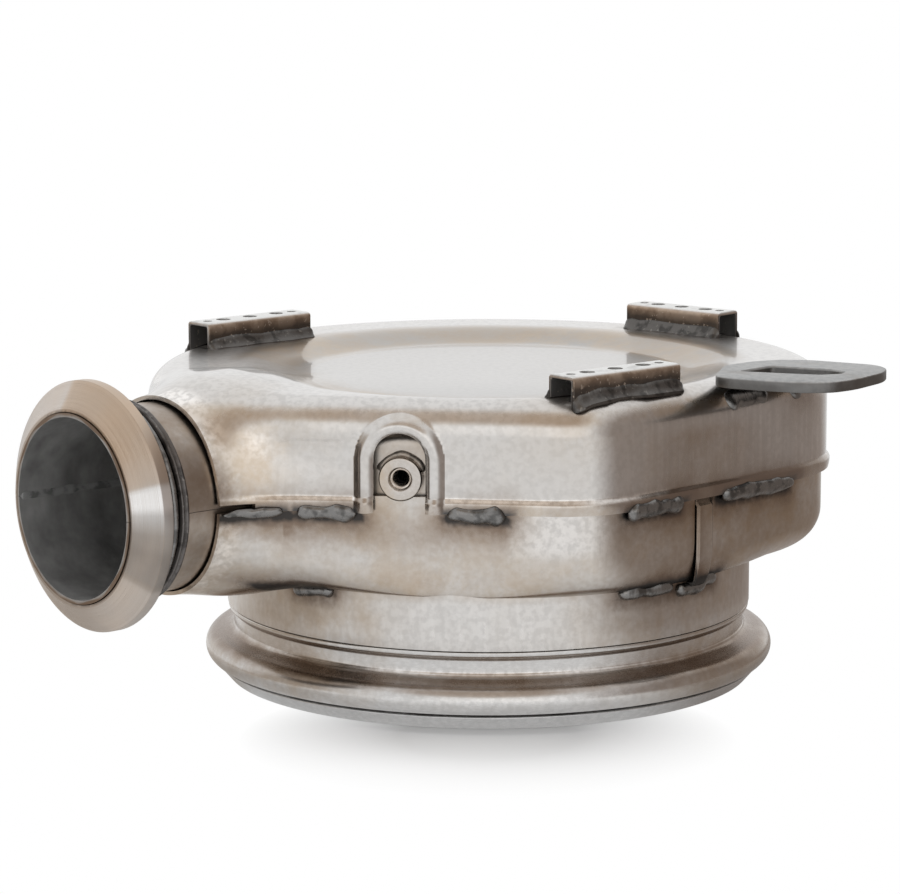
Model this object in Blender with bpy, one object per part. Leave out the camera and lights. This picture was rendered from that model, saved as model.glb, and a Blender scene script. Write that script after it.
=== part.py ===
# Diesel oxidation catalyst: a pressed double-skin inlet housing on a round can.
# The can's axis is X = Y = 0 while building, the mouth of the can looks down, and
# the inlet pipe leaves the housing to the left front. All lengths are metres.

import math

import bmesh
import bpy
import numpy as np
from mathutils import Matrix, Vector

# Driving dimensions

GAP = 0.0003              # clearance kept between pieces that touch
SHEET = 0.0020            # outer pressed skin
SKIN = 0.0022             # inner gas-tight skin and pipe wall
CAN_R = 0.1478            # outside radius of the visible can sleeve
SLEEVE_T = 0.0015         # wall of the can sleeve
CAN_AIR = 0.0060          # insulated space between sleeve and mantle
MAT_T = 0.0040            # support mat around the brick
BRICK_H = 0.0762          # catalyst brick, three inches long

SKIRT_H = 0.0092          # tapered skirt under the bead
SKIRT_IN = 0.0068         # how far the skirt tapers in at its foot
BEAD_UP = 0.0082          # bead centre above the skirt
BEAD_OUT = 0.0127         # bead crest outside the can
BAND_H = 0.0240           # straight band above the bead
CAN_H = 0.0295            # visible sleeve above the band

PIPE_R = 0.0508           # outside radius of the inlet pipe
PIPE_DROP = 0.0028        # pipe bottom below the housing floor
PIPE_SIDE = 0.0350        # pipe axis beside the can axis
PIPE_TURN = 48.2          # pipe direction from -Y towards -X, degrees
PIPE_OUT = 0.0563         # pipe end beyond the housing's mouth
MOUTH_OUT = 0.0148        # housing mouth beyond the round wall
MOUTH_GAP = 0.0008        # ring gap between pipe and mouth
NECK_BLEND = 0.0300       # smooth blend of neck and housing
SLIT_H = 0.0042           # open slit between the neck halves
SLIT_L = 0.0180           # length of that slit

SIDE_OUT = 0.0432         # round wall outside the can
FRONT_OUT = 0.0050        # front flat outside the can
CHAMFER_OUT = 0.0076      # right front flat outside the can
CORNER_BLEND = 0.0235     # rounding between those walls
TOP_RISE = 0.0063         # housing top above the pipe's crown
TOP_FILLET = 0.0187       # rounding of the top edge
DISH_DEPTH = 0.0060       # pressed dish in the top
DISH_IN = 0.0423          # dish floor edge inside the can radius
DISH_SLOPE = 0.0345       # width of the slope around the dish floor
LIP_H = 0.0084            # joggled lip at the cover's lower edge
LIP_OUT = 0.0012          # lip outside the wall
LOWER_IN = 0.0026         # lower shells inside the wall
FLOOR_ROUND = 0.0230      # rounding from lower wall to floor
SEAM_SHIFT = 0.0141       # seam of the lower shells behind the can axis
LAP_TURN = 1.4            # overlap of the two lower shells, degrees

ARCH_U = -0.0273          # arch centre along the front wall
ARCH_UP = 0.0263          # arch centre above the parting plane
ARCH_R = 0.0139           # half width of the arch opening
RIB_W = 0.0091            # width of the raised rib around it
RIB_H = 0.0038            # height of that rib
BOSS_R = 0.0115           # sensor boss
BOSS_H = 0.0030
BOSS_UP = 0.0154          # boss centre above the parting plane
BOSS_BORE = 0.0050

RIM_OUT = 0.0162          # inlet flange rim beyond the pipe's radius
RIM_AT = 0.0105           # rim front edge behind the pipe end
RIM_W = 0.0061
HUB_END = 0.0240          # flange hub end behind the pipe end
COLLAR_END = 0.0380       # end of the ridged collar

BRACKET_L = 0.0760
BRACKET_W = 0.0200
BRACKET_H = 0.0145
BRACKET_T = 0.0020
LUG_T = 0.0060

# Sizes that follow from them

Z_BEAD = SKIRT_H + BEAD_UP
Z_BAND = Z_BEAD + BAND_H
Z_FLOOR = Z_BAND + CAN_H
Z_PART = Z_FLOOR + PIPE_R - PIPE_DROP
Z_TOP = Z_PART + PIPE_R + MOUTH_GAP + SHEET + TOP_RISE - 0.0028
Z_LIP = Z_PART - SLIT_H / 2
Z_CREASE = Z_LIP + LIP_H
DISC_R = CAN_R + SIDE_OUT
FRONT_D = CAN_R + FRONT_OUT
CHAMFER_D = CAN_R + CHAMFER_OUT
DISH_R = CAN_R - DISH_IN
MOUTH_R = PIPE_R + MOUTH_GAP + SHEET
MOUTH_T = DISC_R + MOUTH_OUT
RIM_R = PIPE_R + RIM_OUT
PIPE_END = MOUTH_T + PIPE_OUT
HOLE_R = CAN_R + GAP
MANTLE_R = CAN_R - SLEEVE_T - CAN_AIR
INNER_IN = SHEET + 0.0065
Z_IN_TOP = Z_TOP - DISH_DEPTH - SHEET - 0.0060
Z_IN_FLOOR = Z_FLOOR + SHEET + 0.0060
SEGS = 48

TURN = math.radians(PIPE_TURN)
AXIS = (-math.sin(TURN), -math.cos(TURN))
SIDE = (math.cos(TURN), -math.sin(TURN))
FRONT_N = (-0.1271, -0.9919)
FRONT_U = (0.9919, -0.1271)
CHAMFER_N = (math.sqrt(0.5), -math.sqrt(0.5))
NECK_AZ = math.degrees(math.atan2(AXIS[1], AXIS[0]))
RAY_T = 0.056             # point on the neck axis that sees every wall
RAY_C = (AXIS[0] * RAY_T - SIDE[0] * PIPE_SIDE, AXIS[1] * RAY_T - SIDE[1] * PIPE_SIDE)

for old in list(bpy.data.objects):
    bpy.data.objects.remove(old)

root = bpy.data.objects.new("frame", None)
bpy.context.scene.collection.objects.link(root)


def material(name, colour, rough, metal):
    """Principled material with one plain colour."""
    mat = bpy.data.materials.new(name)
    mat.use_nodes = True
    bsdf = mat.node_tree.nodes["Principled BSDF"]
    bsdf.inputs["Base Color"].default_value = (*colour, 1.0)
    bsdf.inputs["Roughness"].default_value = rough
    bsdf.inputs["Metallic"].default_value = metal
    mat.diffuse_color = (*colour, 1.0)
    return mat


def new_object(name, bm, mat, smooth=True):
    """Object from a bmesh, faces outward, parented to the frame."""
    bmesh.ops.recalc_face_normals(bm, faces=bm.faces)
    mesh = bpy.data.meshes.new(name)
    bm.to_mesh(mesh)
    bm.free()
    if smooth:
        mesh.shade_smooth()
        mesh.set_sharp_from_angle(angle=math.radians(35))
    obj = bpy.data.objects.new(name, mesh)
    if mat:
        mesh.materials.append(mat)
    bpy.context.scene.collection.objects.link(obj)
    obj.parent = root
    return obj


def as_cutter(obj):
    """Marks an object as a cutting shape that isn't part of the model."""
    obj.hide_render = True
    obj.display_type = 'WIRE'
    return obj


def boolean(obj, other, operation='DIFFERENCE'):
    """Boolean modifier with the exact solver."""
    mod = obj.modifiers.new(operation.lower(), 'BOOLEAN')
    mod.operation = operation
    mod.solver = 'EXACT'
    mod.object = other


def loft(name, rings, mat, closed=False):
    """Skin over equal rings of points, ends capped or the last joined to the first."""
    bm = bmesh.new()
    rows = [[bm.verts.new(p) for p in ring] for ring in rings]
    count = len(rows[0])
    pairs = list(zip(rows, rows[1:]))
    if closed:
        pairs.append((rows[-1], rows[0]))
    for low, high in pairs:
        for i in range(count):
            k = (i + 1) % count
            bm.faces.new((low[i], low[k], high[k], high[i]))
    if not closed:
        bm.faces.new(rows[0])
        bm.faces.new(rows[-1])
    return new_object(name, bm, mat)


def turned(name, profile, mat, segs=SEGS, matrix=None):
    """Ring or disc turned about Z from a closed (radius, height) profile."""
    rings = []
    for radius, height in profile:
        ring = []
        for i in range(segs):
            a = 2 * math.pi * i / segs
            p = Vector((radius * math.cos(a), radius * math.sin(a), height))
            ring.append(matrix @ p if matrix else p)
        rings.append(ring)
    return loft(name, rings, mat, closed=True)


def cylinder(name, radius, low, high, mat, segs=SEGS, matrix=None):
    rings = []
    for height in (low, high):
        ring = []
        for i in range(segs):
            a = 2 * math.pi * i / segs
            p = Vector((radius * math.cos(a), radius * math.sin(a), height))
            ring.append(matrix @ p if matrix else p)
        rings.append(ring)
    return loft(name, rings, mat)


def prism(name, outline, direction, mat):
    """Closed solid from a flat outline and its copy moved by direction."""
    first = [Vector(p) for p in outline]
    return loft(name, [first, [p + Vector(direction) for p in first]], mat)


# The housing's form: signed distances, negative inside

def soft_max(a, b, k):
    h = np.clip(0.5 + 0.5 * (a - b) / k, 0, 1)
    return b + (a - b) * h + k * h * (1 - h)


def soft_min(a, b, k):
    return -soft_max(-a, -b, k)


def ramp(v):
    """Smooth step from 0 to 1."""
    v = np.clip(v, 0, 1)
    return v * v * (3 - 2 * v)


def plan(x, y):
    """Distance outside the housing's wall, seen from above."""
    disc = np.hypot(x, y) - DISC_R
    front = x * FRONT_N[0] + y * FRONT_N[1] - FRONT_D
    chamfer = x * CHAMFER_N[0] + y * CHAMFER_N[1] - CHAMFER_D
    return soft_max(soft_max(disc, front, CORNER_BLEND), chamfer, CORNER_BLEND)


def neck(x, y, z, radius, reach, end, fade=0.4):
    """Distance outside the inlet neck, which fades out inside the housing."""
    t = x * AXIS[0] + y * AXIS[1]
    n = x * SIDE[0] + y * SIDE[1] + PIPE_SIDE
    tube = np.hypot(n, z - Z_PART) - radius + fade * np.maximum(0, reach - t)
    return np.maximum(tube, t - end)


def wrap(angle):
    """Angle in degrees brought to -180 to 180."""
    return (angle + 180) % 360 - 180


def seam_azimuths():
    """Where the wall crosses the seam's plane, seen from the ray centre, in degrees."""
    turns = np.radians(np.arange(-180, 180, 0.05))
    reach = np.linspace(0.02, 0.4, 1200)
    found = []
    x = RAY_C[0] + np.outer(np.cos(turns), reach)
    y = RAY_C[1] + np.outer(np.sin(turns), reach)
    first = np.argmax(plan(x, y) > 0, axis=1)
    px, py = x[np.arange(len(turns)), first], y[np.arange(len(turns)), first]
    t = px * AXIS[0] + py * AXIS[1] + SEAM_SHIFT
    for i in range(len(turns)):
        if t[i] * t[i - 1] < 0:
            found.append(math.degrees(turns[i]))
    return sorted(found)


SEAM_AZ = seam_azimuths()


def rounded(q1, q2, r):
    """Distance to the edge of two faces that meet in a rounding."""
    out = np.hypot(np.maximum(q1 + r, 0), np.maximum(q2 + r, 0))
    return out + np.minimum(np.maximum(q1 + r, q2 + r), 0) - r


def rib(x, y, z):
    """Raised rib around the arch, 1 on its crest."""
    u = x * FRONT_U[0] + y * FRONT_U[1] - ARCH_U
    up = np.maximum(z - Z_PART - ARCH_UP, 0)
    d = np.abs(np.hypot(u, up) - ARCH_R - RIB_W / 2)
    crest = np.cos(0.5 * math.pi * np.clip(d / (RIB_W * 0.75), 0, 1)) ** 2
    return crest * (x * FRONT_N[0] + y * FRONT_N[1] > 0)


def cover_field(x, y, z, inset):
    """Pressed cover: wall with rib and lip, rounded top with a dish, inlet neck."""
    lip = LIP_OUT * ramp((Z_CREASE - z) / 0.003)
    wall = plan(x, y) - RIB_H * rib(x, y, z) - lip + inset
    slope = (DISH_R + DISH_SLOPE - np.hypot(x, y)) / DISH_SLOPE
    top = z - Z_TOP + DISH_DEPTH * ramp(slope) + inset
    body = rounded(wall, top, TOP_FILLET - inset)
    tube = neck(x, y, z, MOUTH_R - inset, DISC_R - 0.040, MOUTH_T + 0.030)
    return soft_min(body, tube, NECK_BLEND)


def lower_field(x, y, z, inset, swell):
    """Lower shells: wall set in under the cover's lip, rounded to a floor."""
    turn = np.degrees(np.arctan2(y - RAY_C[1], x - RAY_C[0]))
    away = np.minimum(np.abs(wrap(turn - SEAM_AZ[0])), np.abs(wrap(turn - SEAM_AZ[1])))
    lift = swell * (1 - ramp((away - 2.4) / 1.6)) * ramp((Z_LIP - 0.001 - z) / 0.004)
    wide = plan(x, y)
    ledge = np.hypot(x, y) - wide - LOWER_IN - CAN_R
    a = np.clip(0.9 * ledge, 0.0032, FLOOR_ROUND) - inset
    b = FLOOR_ROUND - inset
    wall = wide + LOWER_IN + inset - lift
    floor = (Z_FLOOR + inset - lift - z) * a / b
    body = rounded(wall, floor, a)
    tube = neck(x, y, z, MOUTH_R - inset, DISC_R - 0.040, MOUTH_T + 0.030)
    return soft_min(body, tube, NECK_BLEND)


def inner_field(x, y, z, inset):
    """Inner skins: the outer form set in, running out into the inlet pipe."""
    wall = plan(x, y) + INNER_IN + inset
    up = rounded(wall, z - Z_IN_TOP + inset, 0.012)
    ledge = np.hypot(x, y) - plan(x, y) - INNER_IN - MANTLE_R
    a = np.clip(0.9 * ledge, 0.0042, 0.016) - inset
    b = 0.016 - inset
    low = rounded(wall, (Z_IN_FLOOR + inset - z) * a / b, a)
    body = np.where(z > Z_PART, up, low)
    tube = neck(x, y, z, PIPE_R - inset, DISC_R - 0.012, PIPE_END + 0.030, 0.5)
    return soft_min(body, tube, 0.022)


# Rays from the point on the neck axis meet every wall once


def first_wall(field, ox, oy, oz, dx, dy, dz, far):
    """Distance along each ray to the wall, by halving."""
    near = np.zeros_like(dx)
    far = np.full_like(dx, far)
    for _ in range(34):
        mid = 0.5 * (near + far)
        inside = field(ox + dx * mid, oy + dy * mid, oz + dz * mid) < 0
        near = np.where(inside, mid, near)
        far = np.where(inside, far, mid)
    return 0.5 * (near + far)


def columns(fine, coarse, extra=()):
    """Ray azimuths in degrees: close at the neck's sides and at the arch."""
    steps = [0, 8, 13, 15.5, 18, 21, 24.5, 29, 34, 40]
    around = sorted([NECK_AZ - s for s in steps[1:]] + [NECK_AZ + s for s in steps])
    centre_u = ARCH_U + RAY_C[0] * -FRONT_U[0] + RAY_C[1] * -FRONT_U[1]
    deep = FRONT_D - RAY_C[0] * FRONT_N[0] - RAY_C[1] * FRONT_N[1]
    front_az = math.degrees(math.atan2(FRONT_N[1], FRONT_N[0]))
    half = ARCH_R + RIB_W * 1.35
    for i in range(fine + 1):
        u = centre_u - half + 2 * half * i / fine
        around.append(front_az + math.degrees(math.atan2(u, deep)))
    around = sorted(a for a in around if a <= NECK_AZ + 30 or a > NECK_AZ + 34)
    low, high = around[-1], around[0] + 360
    for i in range(1, coarse):
        around.append(low + (high - low) * i / coarse)
    around = [a for a in around if all(abs(wrap(a - e)) > 1.0 for e in extra)]
    around += [low + (e - low) % 360 for e in extra]
    return np.radians(np.array(sorted(around)))


def profile_rows(field, az, levels, turn_z, way, rows, reach):
    """For each azimuth: points at fixed heights, then spaced along the curve to the pole."""
    cx, cy = RAY_C
    ca, sa = np.cos(az), np.sin(az)
    out = []
    for level in levels:
        z = np.full_like(az, level)
        r = first_wall(field, cx, cy, z, ca, sa, np.zeros_like(az), reach)
        out.append(np.stack([cx + r * ca, cy + r * sa, z], 1))
    el = np.radians(np.concatenate([np.linspace(0, 40, 260), np.linspace(40.5, 89.9, 90)]))
    grid_a, grid_e = np.meshgrid(az, el, indexing='ij')
    dx, dy = np.cos(grid_e) * np.cos(grid_a), np.cos(grid_e) * np.sin(grid_a)
    dz = way * np.sin(grid_e)
    r = first_wall(field, cx, cy, turn_z, dx, dy, dz, reach)
    pts = np.stack([cx + r * dx, cy + r * dy, turn_z + r * dz], 2)
    step = np.diff(pts, axis=1)
    length = np.linalg.norm(step, axis=2)
    unit = step / length[:, :, None]
    bend = np.linalg.norm(np.diff(unit, axis=1), axis=2)
    bend = np.pad(bend, ((0, 0), (0, 1)))
    weight = np.cumsum(length + 0.055 * bend, axis=1)
    weight = np.pad(weight, ((0, 0), (1, 0)))
    for j in range(1, rows):
        row = []
        for i in range(len(az)):
            goal = weight[i, -1] * j / rows
            row.append([np.interp(goal, weight[i], pts[i, :, c]) for c in range(3)])
        out.append(np.array(row))
    return out


def ray_solid(name, field, az, levels, turn_z, way, rows, mat, reach=0.34):
    """Closed solid inside a field, flat at its first level."""
    rings = profile_rows(field, az, levels, turn_z, way, rows, reach)
    pole = first_wall(field, RAY_C[0], RAY_C[1], turn_z, np.zeros(1), np.zeros(1),
                      np.array([float(way)]), reach)[0]
    bm = bmesh.new()
    verts = [[bm.verts.new(p) for p in ring] for ring in rings]
    tip = bm.verts.new((RAY_C[0], RAY_C[1], turn_z + way * pole))
    count = len(az)
    bm.faces.new(reversed(verts[0]))
    for low, high in zip(verts, verts[1:]):
        for i in range(count):
            k = (i + 1) % count
            bm.faces.new((low[i], low[k], high[k]))
            bm.faces.new((low[i], high[k], high[i]))
    for i in range(count):
        k = (i + 1) % count
        bm.faces.new((verts[-1][i], verts[-1][k], tip))
    return new_object(name, bm, mat)


def neck_box(name, t0, t1, half, z0, z1):
    """Cutting box lined up with the neck."""
    corners = []
    for n in (-half, half):
        for t in ((t0, t1) if n < 0 else (t1, t0)):
            side = n - PIPE_SIDE
            corners.append((AXIS[0] * t + SIDE[0] * side, AXIS[1] * t + SIDE[1] * side, z0))
    return as_cutter(prism(name, corners, (0, 0, z1 - z0), None))


def pipe_matrix(t):
    """Places a turned piece on the pipe axis, its own Z pointing back along the pipe."""
    z = Vector((-AXIS[0], -AXIS[1], 0))
    x = Vector((0, 0, 1))
    y = z.cross(x)
    place = Matrix((x, y, z)).transposed().to_4x4()
    side = -PIPE_SIDE
    place.translation = (AXIS[0] * t + SIDE[0] * side, AXIS[1] * t + SIDE[1] * side, Z_PART)
    return place


def front_matrix(u, z, depth):
    """Places a piece on the front wall, its own Z pointing out."""
    out = Vector((FRONT_N[0], FRONT_N[1], 0))
    across = Vector((FRONT_U[0], FRONT_U[1], 0))
    place = Matrix((across, out.cross(across), out)).transposed().to_4x4()
    place.translation = across * u + out * depth + Vector((0, 0, z))
    return place


# Materials, one for each kind of piece

def steel(name, colour, rough=0.35):
    return material(name, colour, rough, 1.0)


# Outer cover

cover_az = columns(13, 36)
cover = ray_solid("outer_cover", lambda x, y, z: cover_field(x, y, z, 0.0), cover_az,
                  [Z_LIP, Z_CREASE - 0.003, Z_CREASE], Z_CREASE + 0.003, 1, 14,
                  steel("cover_steel", (0.62, 0.56, 0.50), 0.3))
cover_void = as_cutter(ray_solid(
    "cover_void", lambda x, y, z: cover_field(x, y, z, SHEET), cover_az,
    [Z_LIP - 0.003, Z_CREASE - 0.003, Z_CREASE], Z_CREASE + 0.003, 1, 14, None))
boolean(cover, cover_void)
boolean(cover, neck_box("cut_mouth_up", MOUTH_T, MOUTH_T + 0.2, 0.12,
                        Z_PART - 0.12, Z_PART + 0.12))
boolean(cover, neck_box("cut_slit", MOUTH_T - SLIT_L, MOUTH_T + 0.01, MOUTH_R + 0.02,
                        Z_LIP - 0.01, Z_PART + SLIT_H / 2))
arch = []
for i in range(13):
    a = math.pi * i / 12
    arch.append((ARCH_R * math.cos(a), ARCH_UP + ARCH_R * math.sin(a), 0))
arch += [(-ARCH_R, -0.02, 0), (ARCH_R, -0.02, 0)]
arch_place = front_matrix(ARCH_U, Z_PART, FRONT_D - 0.02)
arch_up = [arch_place @ Vector((p[0], -p[1], 0)) for p in arch]
if (arch_place @ Vector((0, 1, 0))).z > (arch_place @ Vector((0, 0, 0))).z:
    arch_up = [arch_place @ Vector((p[0], p[1], 0)) for p in arch]
out_dir = Vector((FRONT_N[0], FRONT_N[1], 0)) * 0.05
boolean(cover, as_cutter(prism("cut_arch", arch_up, out_dir, None)))

# Lower shells, lapped at a vertical seam

beside_seam = []
for side, way in ((SEAM_AZ[0], 1), (SEAM_AZ[1], -1)):
    beside_seam += [side + way * d for d in (-2.0, -0.3, LAP_TURN + 0.3, 2.4, 4.0)]
lower_az = columns(3, 36, beside_seam)


def wedge(name, a0, a1, z0, z1):
    """Cutting wedge from the ray centre, between two azimuths in degrees."""
    steps = 8
    outline = [(RAY_C[0], RAY_C[1], z0)]
    for i in range(steps + 1):
        a = math.radians(a0 + (a1 - a0) * i / steps)
        outline.append((RAY_C[0] + 0.5 * math.cos(a), RAY_C[1] + 0.5 * math.sin(a), z0))
    return as_cutter(prism(name, outline, (0, 0, z1 - z0), None))


def lower_shell(name, swell, mat, front):
    levels = [Z_CREASE - GAP, Z_LIP, Z_LIP - 0.005]
    shell = ray_solid(name, lambda x, y, z: lower_field(x, y, z, 0.0, swell), lower_az,
                      levels, Z_LIP - 0.006, -1, 10, mat)
    levels = [Z_CREASE + 0.003, Z_LIP, Z_LIP - 0.005]
    void = ray_solid(name + "_void", lambda x, y, z: lower_field(x, y, z, SHEET, swell),
                     lower_az, levels, Z_LIP - 0.006, -1, 10, None)
    boolean(shell, as_cutter(void))
    boolean(shell, hole)
    if front:
        boolean(shell, wedge("cut_front_half", SEAM_AZ[0] + LAP_TURN,
                             SEAM_AZ[1] - LAP_TURN, 0, 0.3))
        boolean(shell, wedge("cut_front_notch", SEAM_AZ[0] - 0.15, SEAM_AZ[1] + 0.15,
                             Z_LIP - 0.0058, 0.29))
        boolean(shell, neck_box("cut_mouth_low", MOUTH_T, MOUTH_T + 0.2, 0.12,
                                Z_PART - 0.12, Z_PART + 0.12))
        boolean(shell, neck_box("cut_no_lap", DISC_R - 0.101, MOUTH_T + 0.1,
                                MOUTH_R + NECK_BLEND, Z_LIP - GAP, Z_PART + 0.05))
    else:
        boolean(shell, wedge("cut_rear_half", SEAM_AZ[1], SEAM_AZ[0] + 360, 0, 0.3))
    return shell


hole = as_cutter(cylinder("cut_can_hole", HOLE_R, Z_FLOOR - 0.03, Z_FLOOR + 0.0075, None))
lower_front = lower_shell("outer_lower_front", 0.0, steel("lower_steel", (0.55, 0.48, 0.42)),
                          True)
lower_rear = lower_shell("outer_lower_rear", SHEET + 0.0008,
                         steel("lower_rear_steel", (0.50, 0.44, 0.38)), False)

# Inner gas-tight skins with the inlet pipe halves

inner_az = columns(2, 15)
for part, way, level in (("upper", 1, Z_PART + GAP / 2), ("lower", -1, Z_PART - GAP / 2)):
    tint = (0.42, 0.37, 0.33) if way > 0 else (0.38, 0.34, 0.31)
    skin = ray_solid("inner_skin_" + part, lambda x, y, z: inner_field(x, y, z, 0.0),
                     inner_az, [level], level, way, 11, steel("skin_" + part, tint))
    void = ray_solid("skin_void_" + part, lambda x, y, z: inner_field(x, y, z, SKIN),
                     inner_az, [level - way * 0.003, level], level, way, 11, None)
    boolean(skin, as_cutter(void))
    boolean(skin, neck_box("cut_pipe_" + part, PIPE_END, PIPE_END + 0.2, 0.12,
                           Z_PART - 0.12, Z_PART + 0.12))
    if way > 0:
        inner_upper = skin
    else:
        inner_lower = skin
boolean(inner_lower, as_cutter(cylinder("cut_mantle_hole", MANTLE_R + GAP,
                                        Z_IN_FLOOR - 0.02, Z_IN_FLOOR + 0.010, None)))

# Sensor boss on the inner skin, seen through the arch

boss_z = Z_PART + BOSS_UP
boss_base = FRONT_D - INNER_IN
boss_at = front_matrix(ARCH_U, boss_z, boss_base)
boss = turned("sensor_boss", [
    (BOSS_BORE, GAP), (BOSS_R, GAP), (BOSS_R, BOSS_H - 0.001), (BOSS_R - 0.001, BOSS_H),
    (BOSS_BORE + 0.0014, BOSS_H), (BOSS_BORE, BOSS_H - 0.0014)],
    steel("boss_steel", (0.6, 0.6, 0.6), 0.25), 24, boss_at)
boolean(inner_upper, as_cutter(cylinder("cut_boss_bore", BOSS_BORE, -0.02, 0.02, None, 16,
                                        boss_at)))

# Can: sleeve, insulation, mantle, mat and brick

Z_CAN = Z_BAND + GAP
sleeve_top = Z_FLOOR + 0.0030
can_low = Z_BEAD + 0.007


def tube(name, outer, inner, low, high, mat):
    return turned(name, [(inner, low), (outer, low), (outer, high), (inner, high)], mat)


tube("can_sleeve", CAN_R, CAN_R - SLEEVE_T, Z_CAN, sleeve_top,
     steel("sleeve_steel", (0.52, 0.50, 0.48)))
tube("can_insulation", CAN_R - SLEEVE_T - GAP, MANTLE_R + GAP, Z_BAND + 0.001,
     sleeve_top - 0.0005, material("fibre", (0.72, 0.70, 0.66), 0.95, 0.0))
mantle_low = can_low + 0.002
mantle_top = mantle_low + BRICK_H + 0.008
tube("mantle", MANTLE_R, MANTLE_R - SLEEVE_T, mantle_low, mantle_top,
     steel("mantle_steel", (0.45, 0.42, 0.40)))
mat_out = MANTLE_R - SLEEVE_T - GAP
tube("support_mat", mat_out, mat_out - MAT_T + GAP, mantle_low + 0.006, mantle_top - 0.006,
     material("mat_fibre", (0.66, 0.60, 0.50), 0.95, 0.0))
BRICK_R = mat_out - MAT_T
cylinder("catalyst_brick", BRICK_R, mantle_low + 0.004, mantle_low + 0.004 + BRICK_H,
         material("cordierite", (0.33, 0.30, 0.26), 0.9, 0.0))

# Outlet ring: band, pressed bead and tapered skirt

band_r = CAN_R - 0.0004
bead_r = CAN_R + BEAD_OUT
foot_r = CAN_R - 0.0001
skirt_r = foot_r + SKIRT_IN
t = SHEET
outlet_profile = [
    (foot_r - t, 0), (foot_r, 0), (skirt_r, SKIRT_H), (skirt_r + 0.0014, SKIRT_H + 0.0016),
    (bead_r - 0.0012, Z_BEAD - 0.0042), (bead_r, Z_BEAD), (bead_r - 0.0016, Z_BEAD + 0.0036),
    (bead_r - 0.0066, Z_BEAD + 0.0062), (band_r + 0.0016, Z_BEAD + 0.0078),
    (band_r - 0.0030, Z_BEAD + 0.0100), (band_r - 0.0030, Z_BAND - 0.0040),
    (band_r, Z_BAND - 0.0016), (band_r, Z_BAND), (band_r - t, Z_BAND),
    (band_r - 0.0030 - t, Z_BAND - 0.0040), (band_r - 0.0030 - t, Z_BEAD + 0.0088),
    (band_r, Z_BEAD + 0.0056), (bead_r - 0.0032, Z_BEAD + 0.0018),
    (bead_r - 0.0034, Z_BEAD - 0.0034), (skirt_r - t, SKIRT_H + 0.0016)]
outlet = turned("outlet_ring", outlet_profile, steel("outlet_steel", (0.5, 0.48, 0.46)))
ring_r = band_r - 0.0030 - t - GAP
tube("end_ring", ring_r, MANTLE_R - SLEEVE_T - 0.003, mantle_low - GAP - 0.0025,
     mantle_low - GAP, steel("ring_steel", (0.45, 0.43, 0.41)))

# Insulation pad between the inner skin's top and the dish

cylinder("insulation_pad", DISH_R - 0.004, Z_IN_TOP + GAP,
         Z_TOP - DISH_DEPTH - SHEET - GAP, material("pad_fibre", (0.75, 0.73, 0.7), 0.95, 0))

# Inlet flange, its weld and the ridged collar

end_at = pipe_matrix(PIPE_END)
bore = PIPE_R + GAP
turned("inlet_flange", [
    (bore, 0.0006), (bore + 0.0018, 0.0006), (RIM_R - 0.0008, RIM_AT - 0.0006),
    (RIM_R, RIM_AT), (RIM_R, RIM_AT + RIM_W), (RIM_R - 0.0006, RIM_AT + RIM_W + 0.0005),
    (bore + 0.0058, HUB_END - 0.0030), (bore + 0.0042, HUB_END), (bore, HUB_END)],
    steel("flange_steel", (0.7, 0.67, 0.64), 0.25), 40, end_at)
weld_grey = steel("weld_steel", (0.16, 0.155, 0.15), 0.45)
ridge = HUB_END + GAP
turned("flange_weld", [
    (bore, ridge), (bore + 0.0046, ridge), (bore + 0.0042, ridge + 0.0030),
    (bore, ridge + 0.0056)],
    steel("flange_weld_steel", (0.14, 0.13, 0.13), 0.5), 40, end_at)
ridge += 0.0056 + GAP
turned("pipe_collar", [
    (bore, ridge), (bore + 0.0026, ridge), (bore + 0.0034, ridge + 0.0022),
    (bore + 0.0022, (ridge + COLLAR_END) / 2), (bore + 0.0030, COLLAR_END - 0.0018),
    (bore, COLLAR_END)], steel("collar_steel", (0.2, 0.19, 0.18), 0.45), 40, end_at)

# Brackets: channels welded on the top, their legs trimmed to the cover

cover_skin = as_cutter(ray_solid(
    "cover_offset", lambda x, y, z: cover_field(x, y, z, -0.0005), cover_az,
    [Z_LIP, Z_CREASE - 0.003, Z_CREASE], Z_CREASE + 0.003, 1, 14, None))
boolean(cover_skin, neck_box("cut_offset", -0.3, 0.3, 0.3, Z_LIP - 0.01, Z_PART + 0.02))


def top_z(x, y):
    """Height of the cover above a point, by halving."""
    low, high = Z_PART, Z_TOP + 0.02
    for _ in range(40):
        mid = 0.5 * (low + high)
        if cover_field(np.array([x]), np.array([y]), np.array([mid]), 0.0)[0] < 0:
            low = mid
        else:
            high = mid
    return low


def bracket(name, corner, angle, length, top, mat):
    """Channel open below, along the given direction from its near left top corner."""
    turn = math.radians(angle)
    along = Vector((math.cos(turn), math.sin(turn), 0))
    back = Vector((-math.sin(turn), math.cos(turn), 0))
    w, h, t = BRACKET_W, BRACKET_H + 0.014, BRACKET_T
    start = Vector((corner[0], corner[1], 0))
    section = [(0, -h), (0, -0.003), (0.0009, -0.0009), (0.003, 0), (w - 0.003, 0),
               (w - 0.0009, -0.0009), (w, -0.003), (w, -h), (w - t, -h),
               (w - t, -t - 0.001), (w - t - 0.001, -t), (t + 0.001, -t),
               (t, -t - 0.001), (t, -h)]
    ring = [start + back * p[0] + Vector((0, 0, top + p[1])) for p in section]
    obj = prism(name, ring, along * length, mat)
    for i, (at, r) in enumerate(((0.087, 0.0026), (0.24, 0.0042), (0.5, 0.0042),
                                 (0.76, 0.0042), (0.913, 0.0026))):
        centre = start + along * (length * at) + back * (w / 2)
        place = Matrix.Translation((centre.x, centre.y, top))
        boolean(obj, as_cutter(cylinder(name + "_hole_%d" % i, r, -0.006, 0.004, None, 12,
                                        place)))
    boolean(obj, cover_skin)
    return start, along, back


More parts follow.
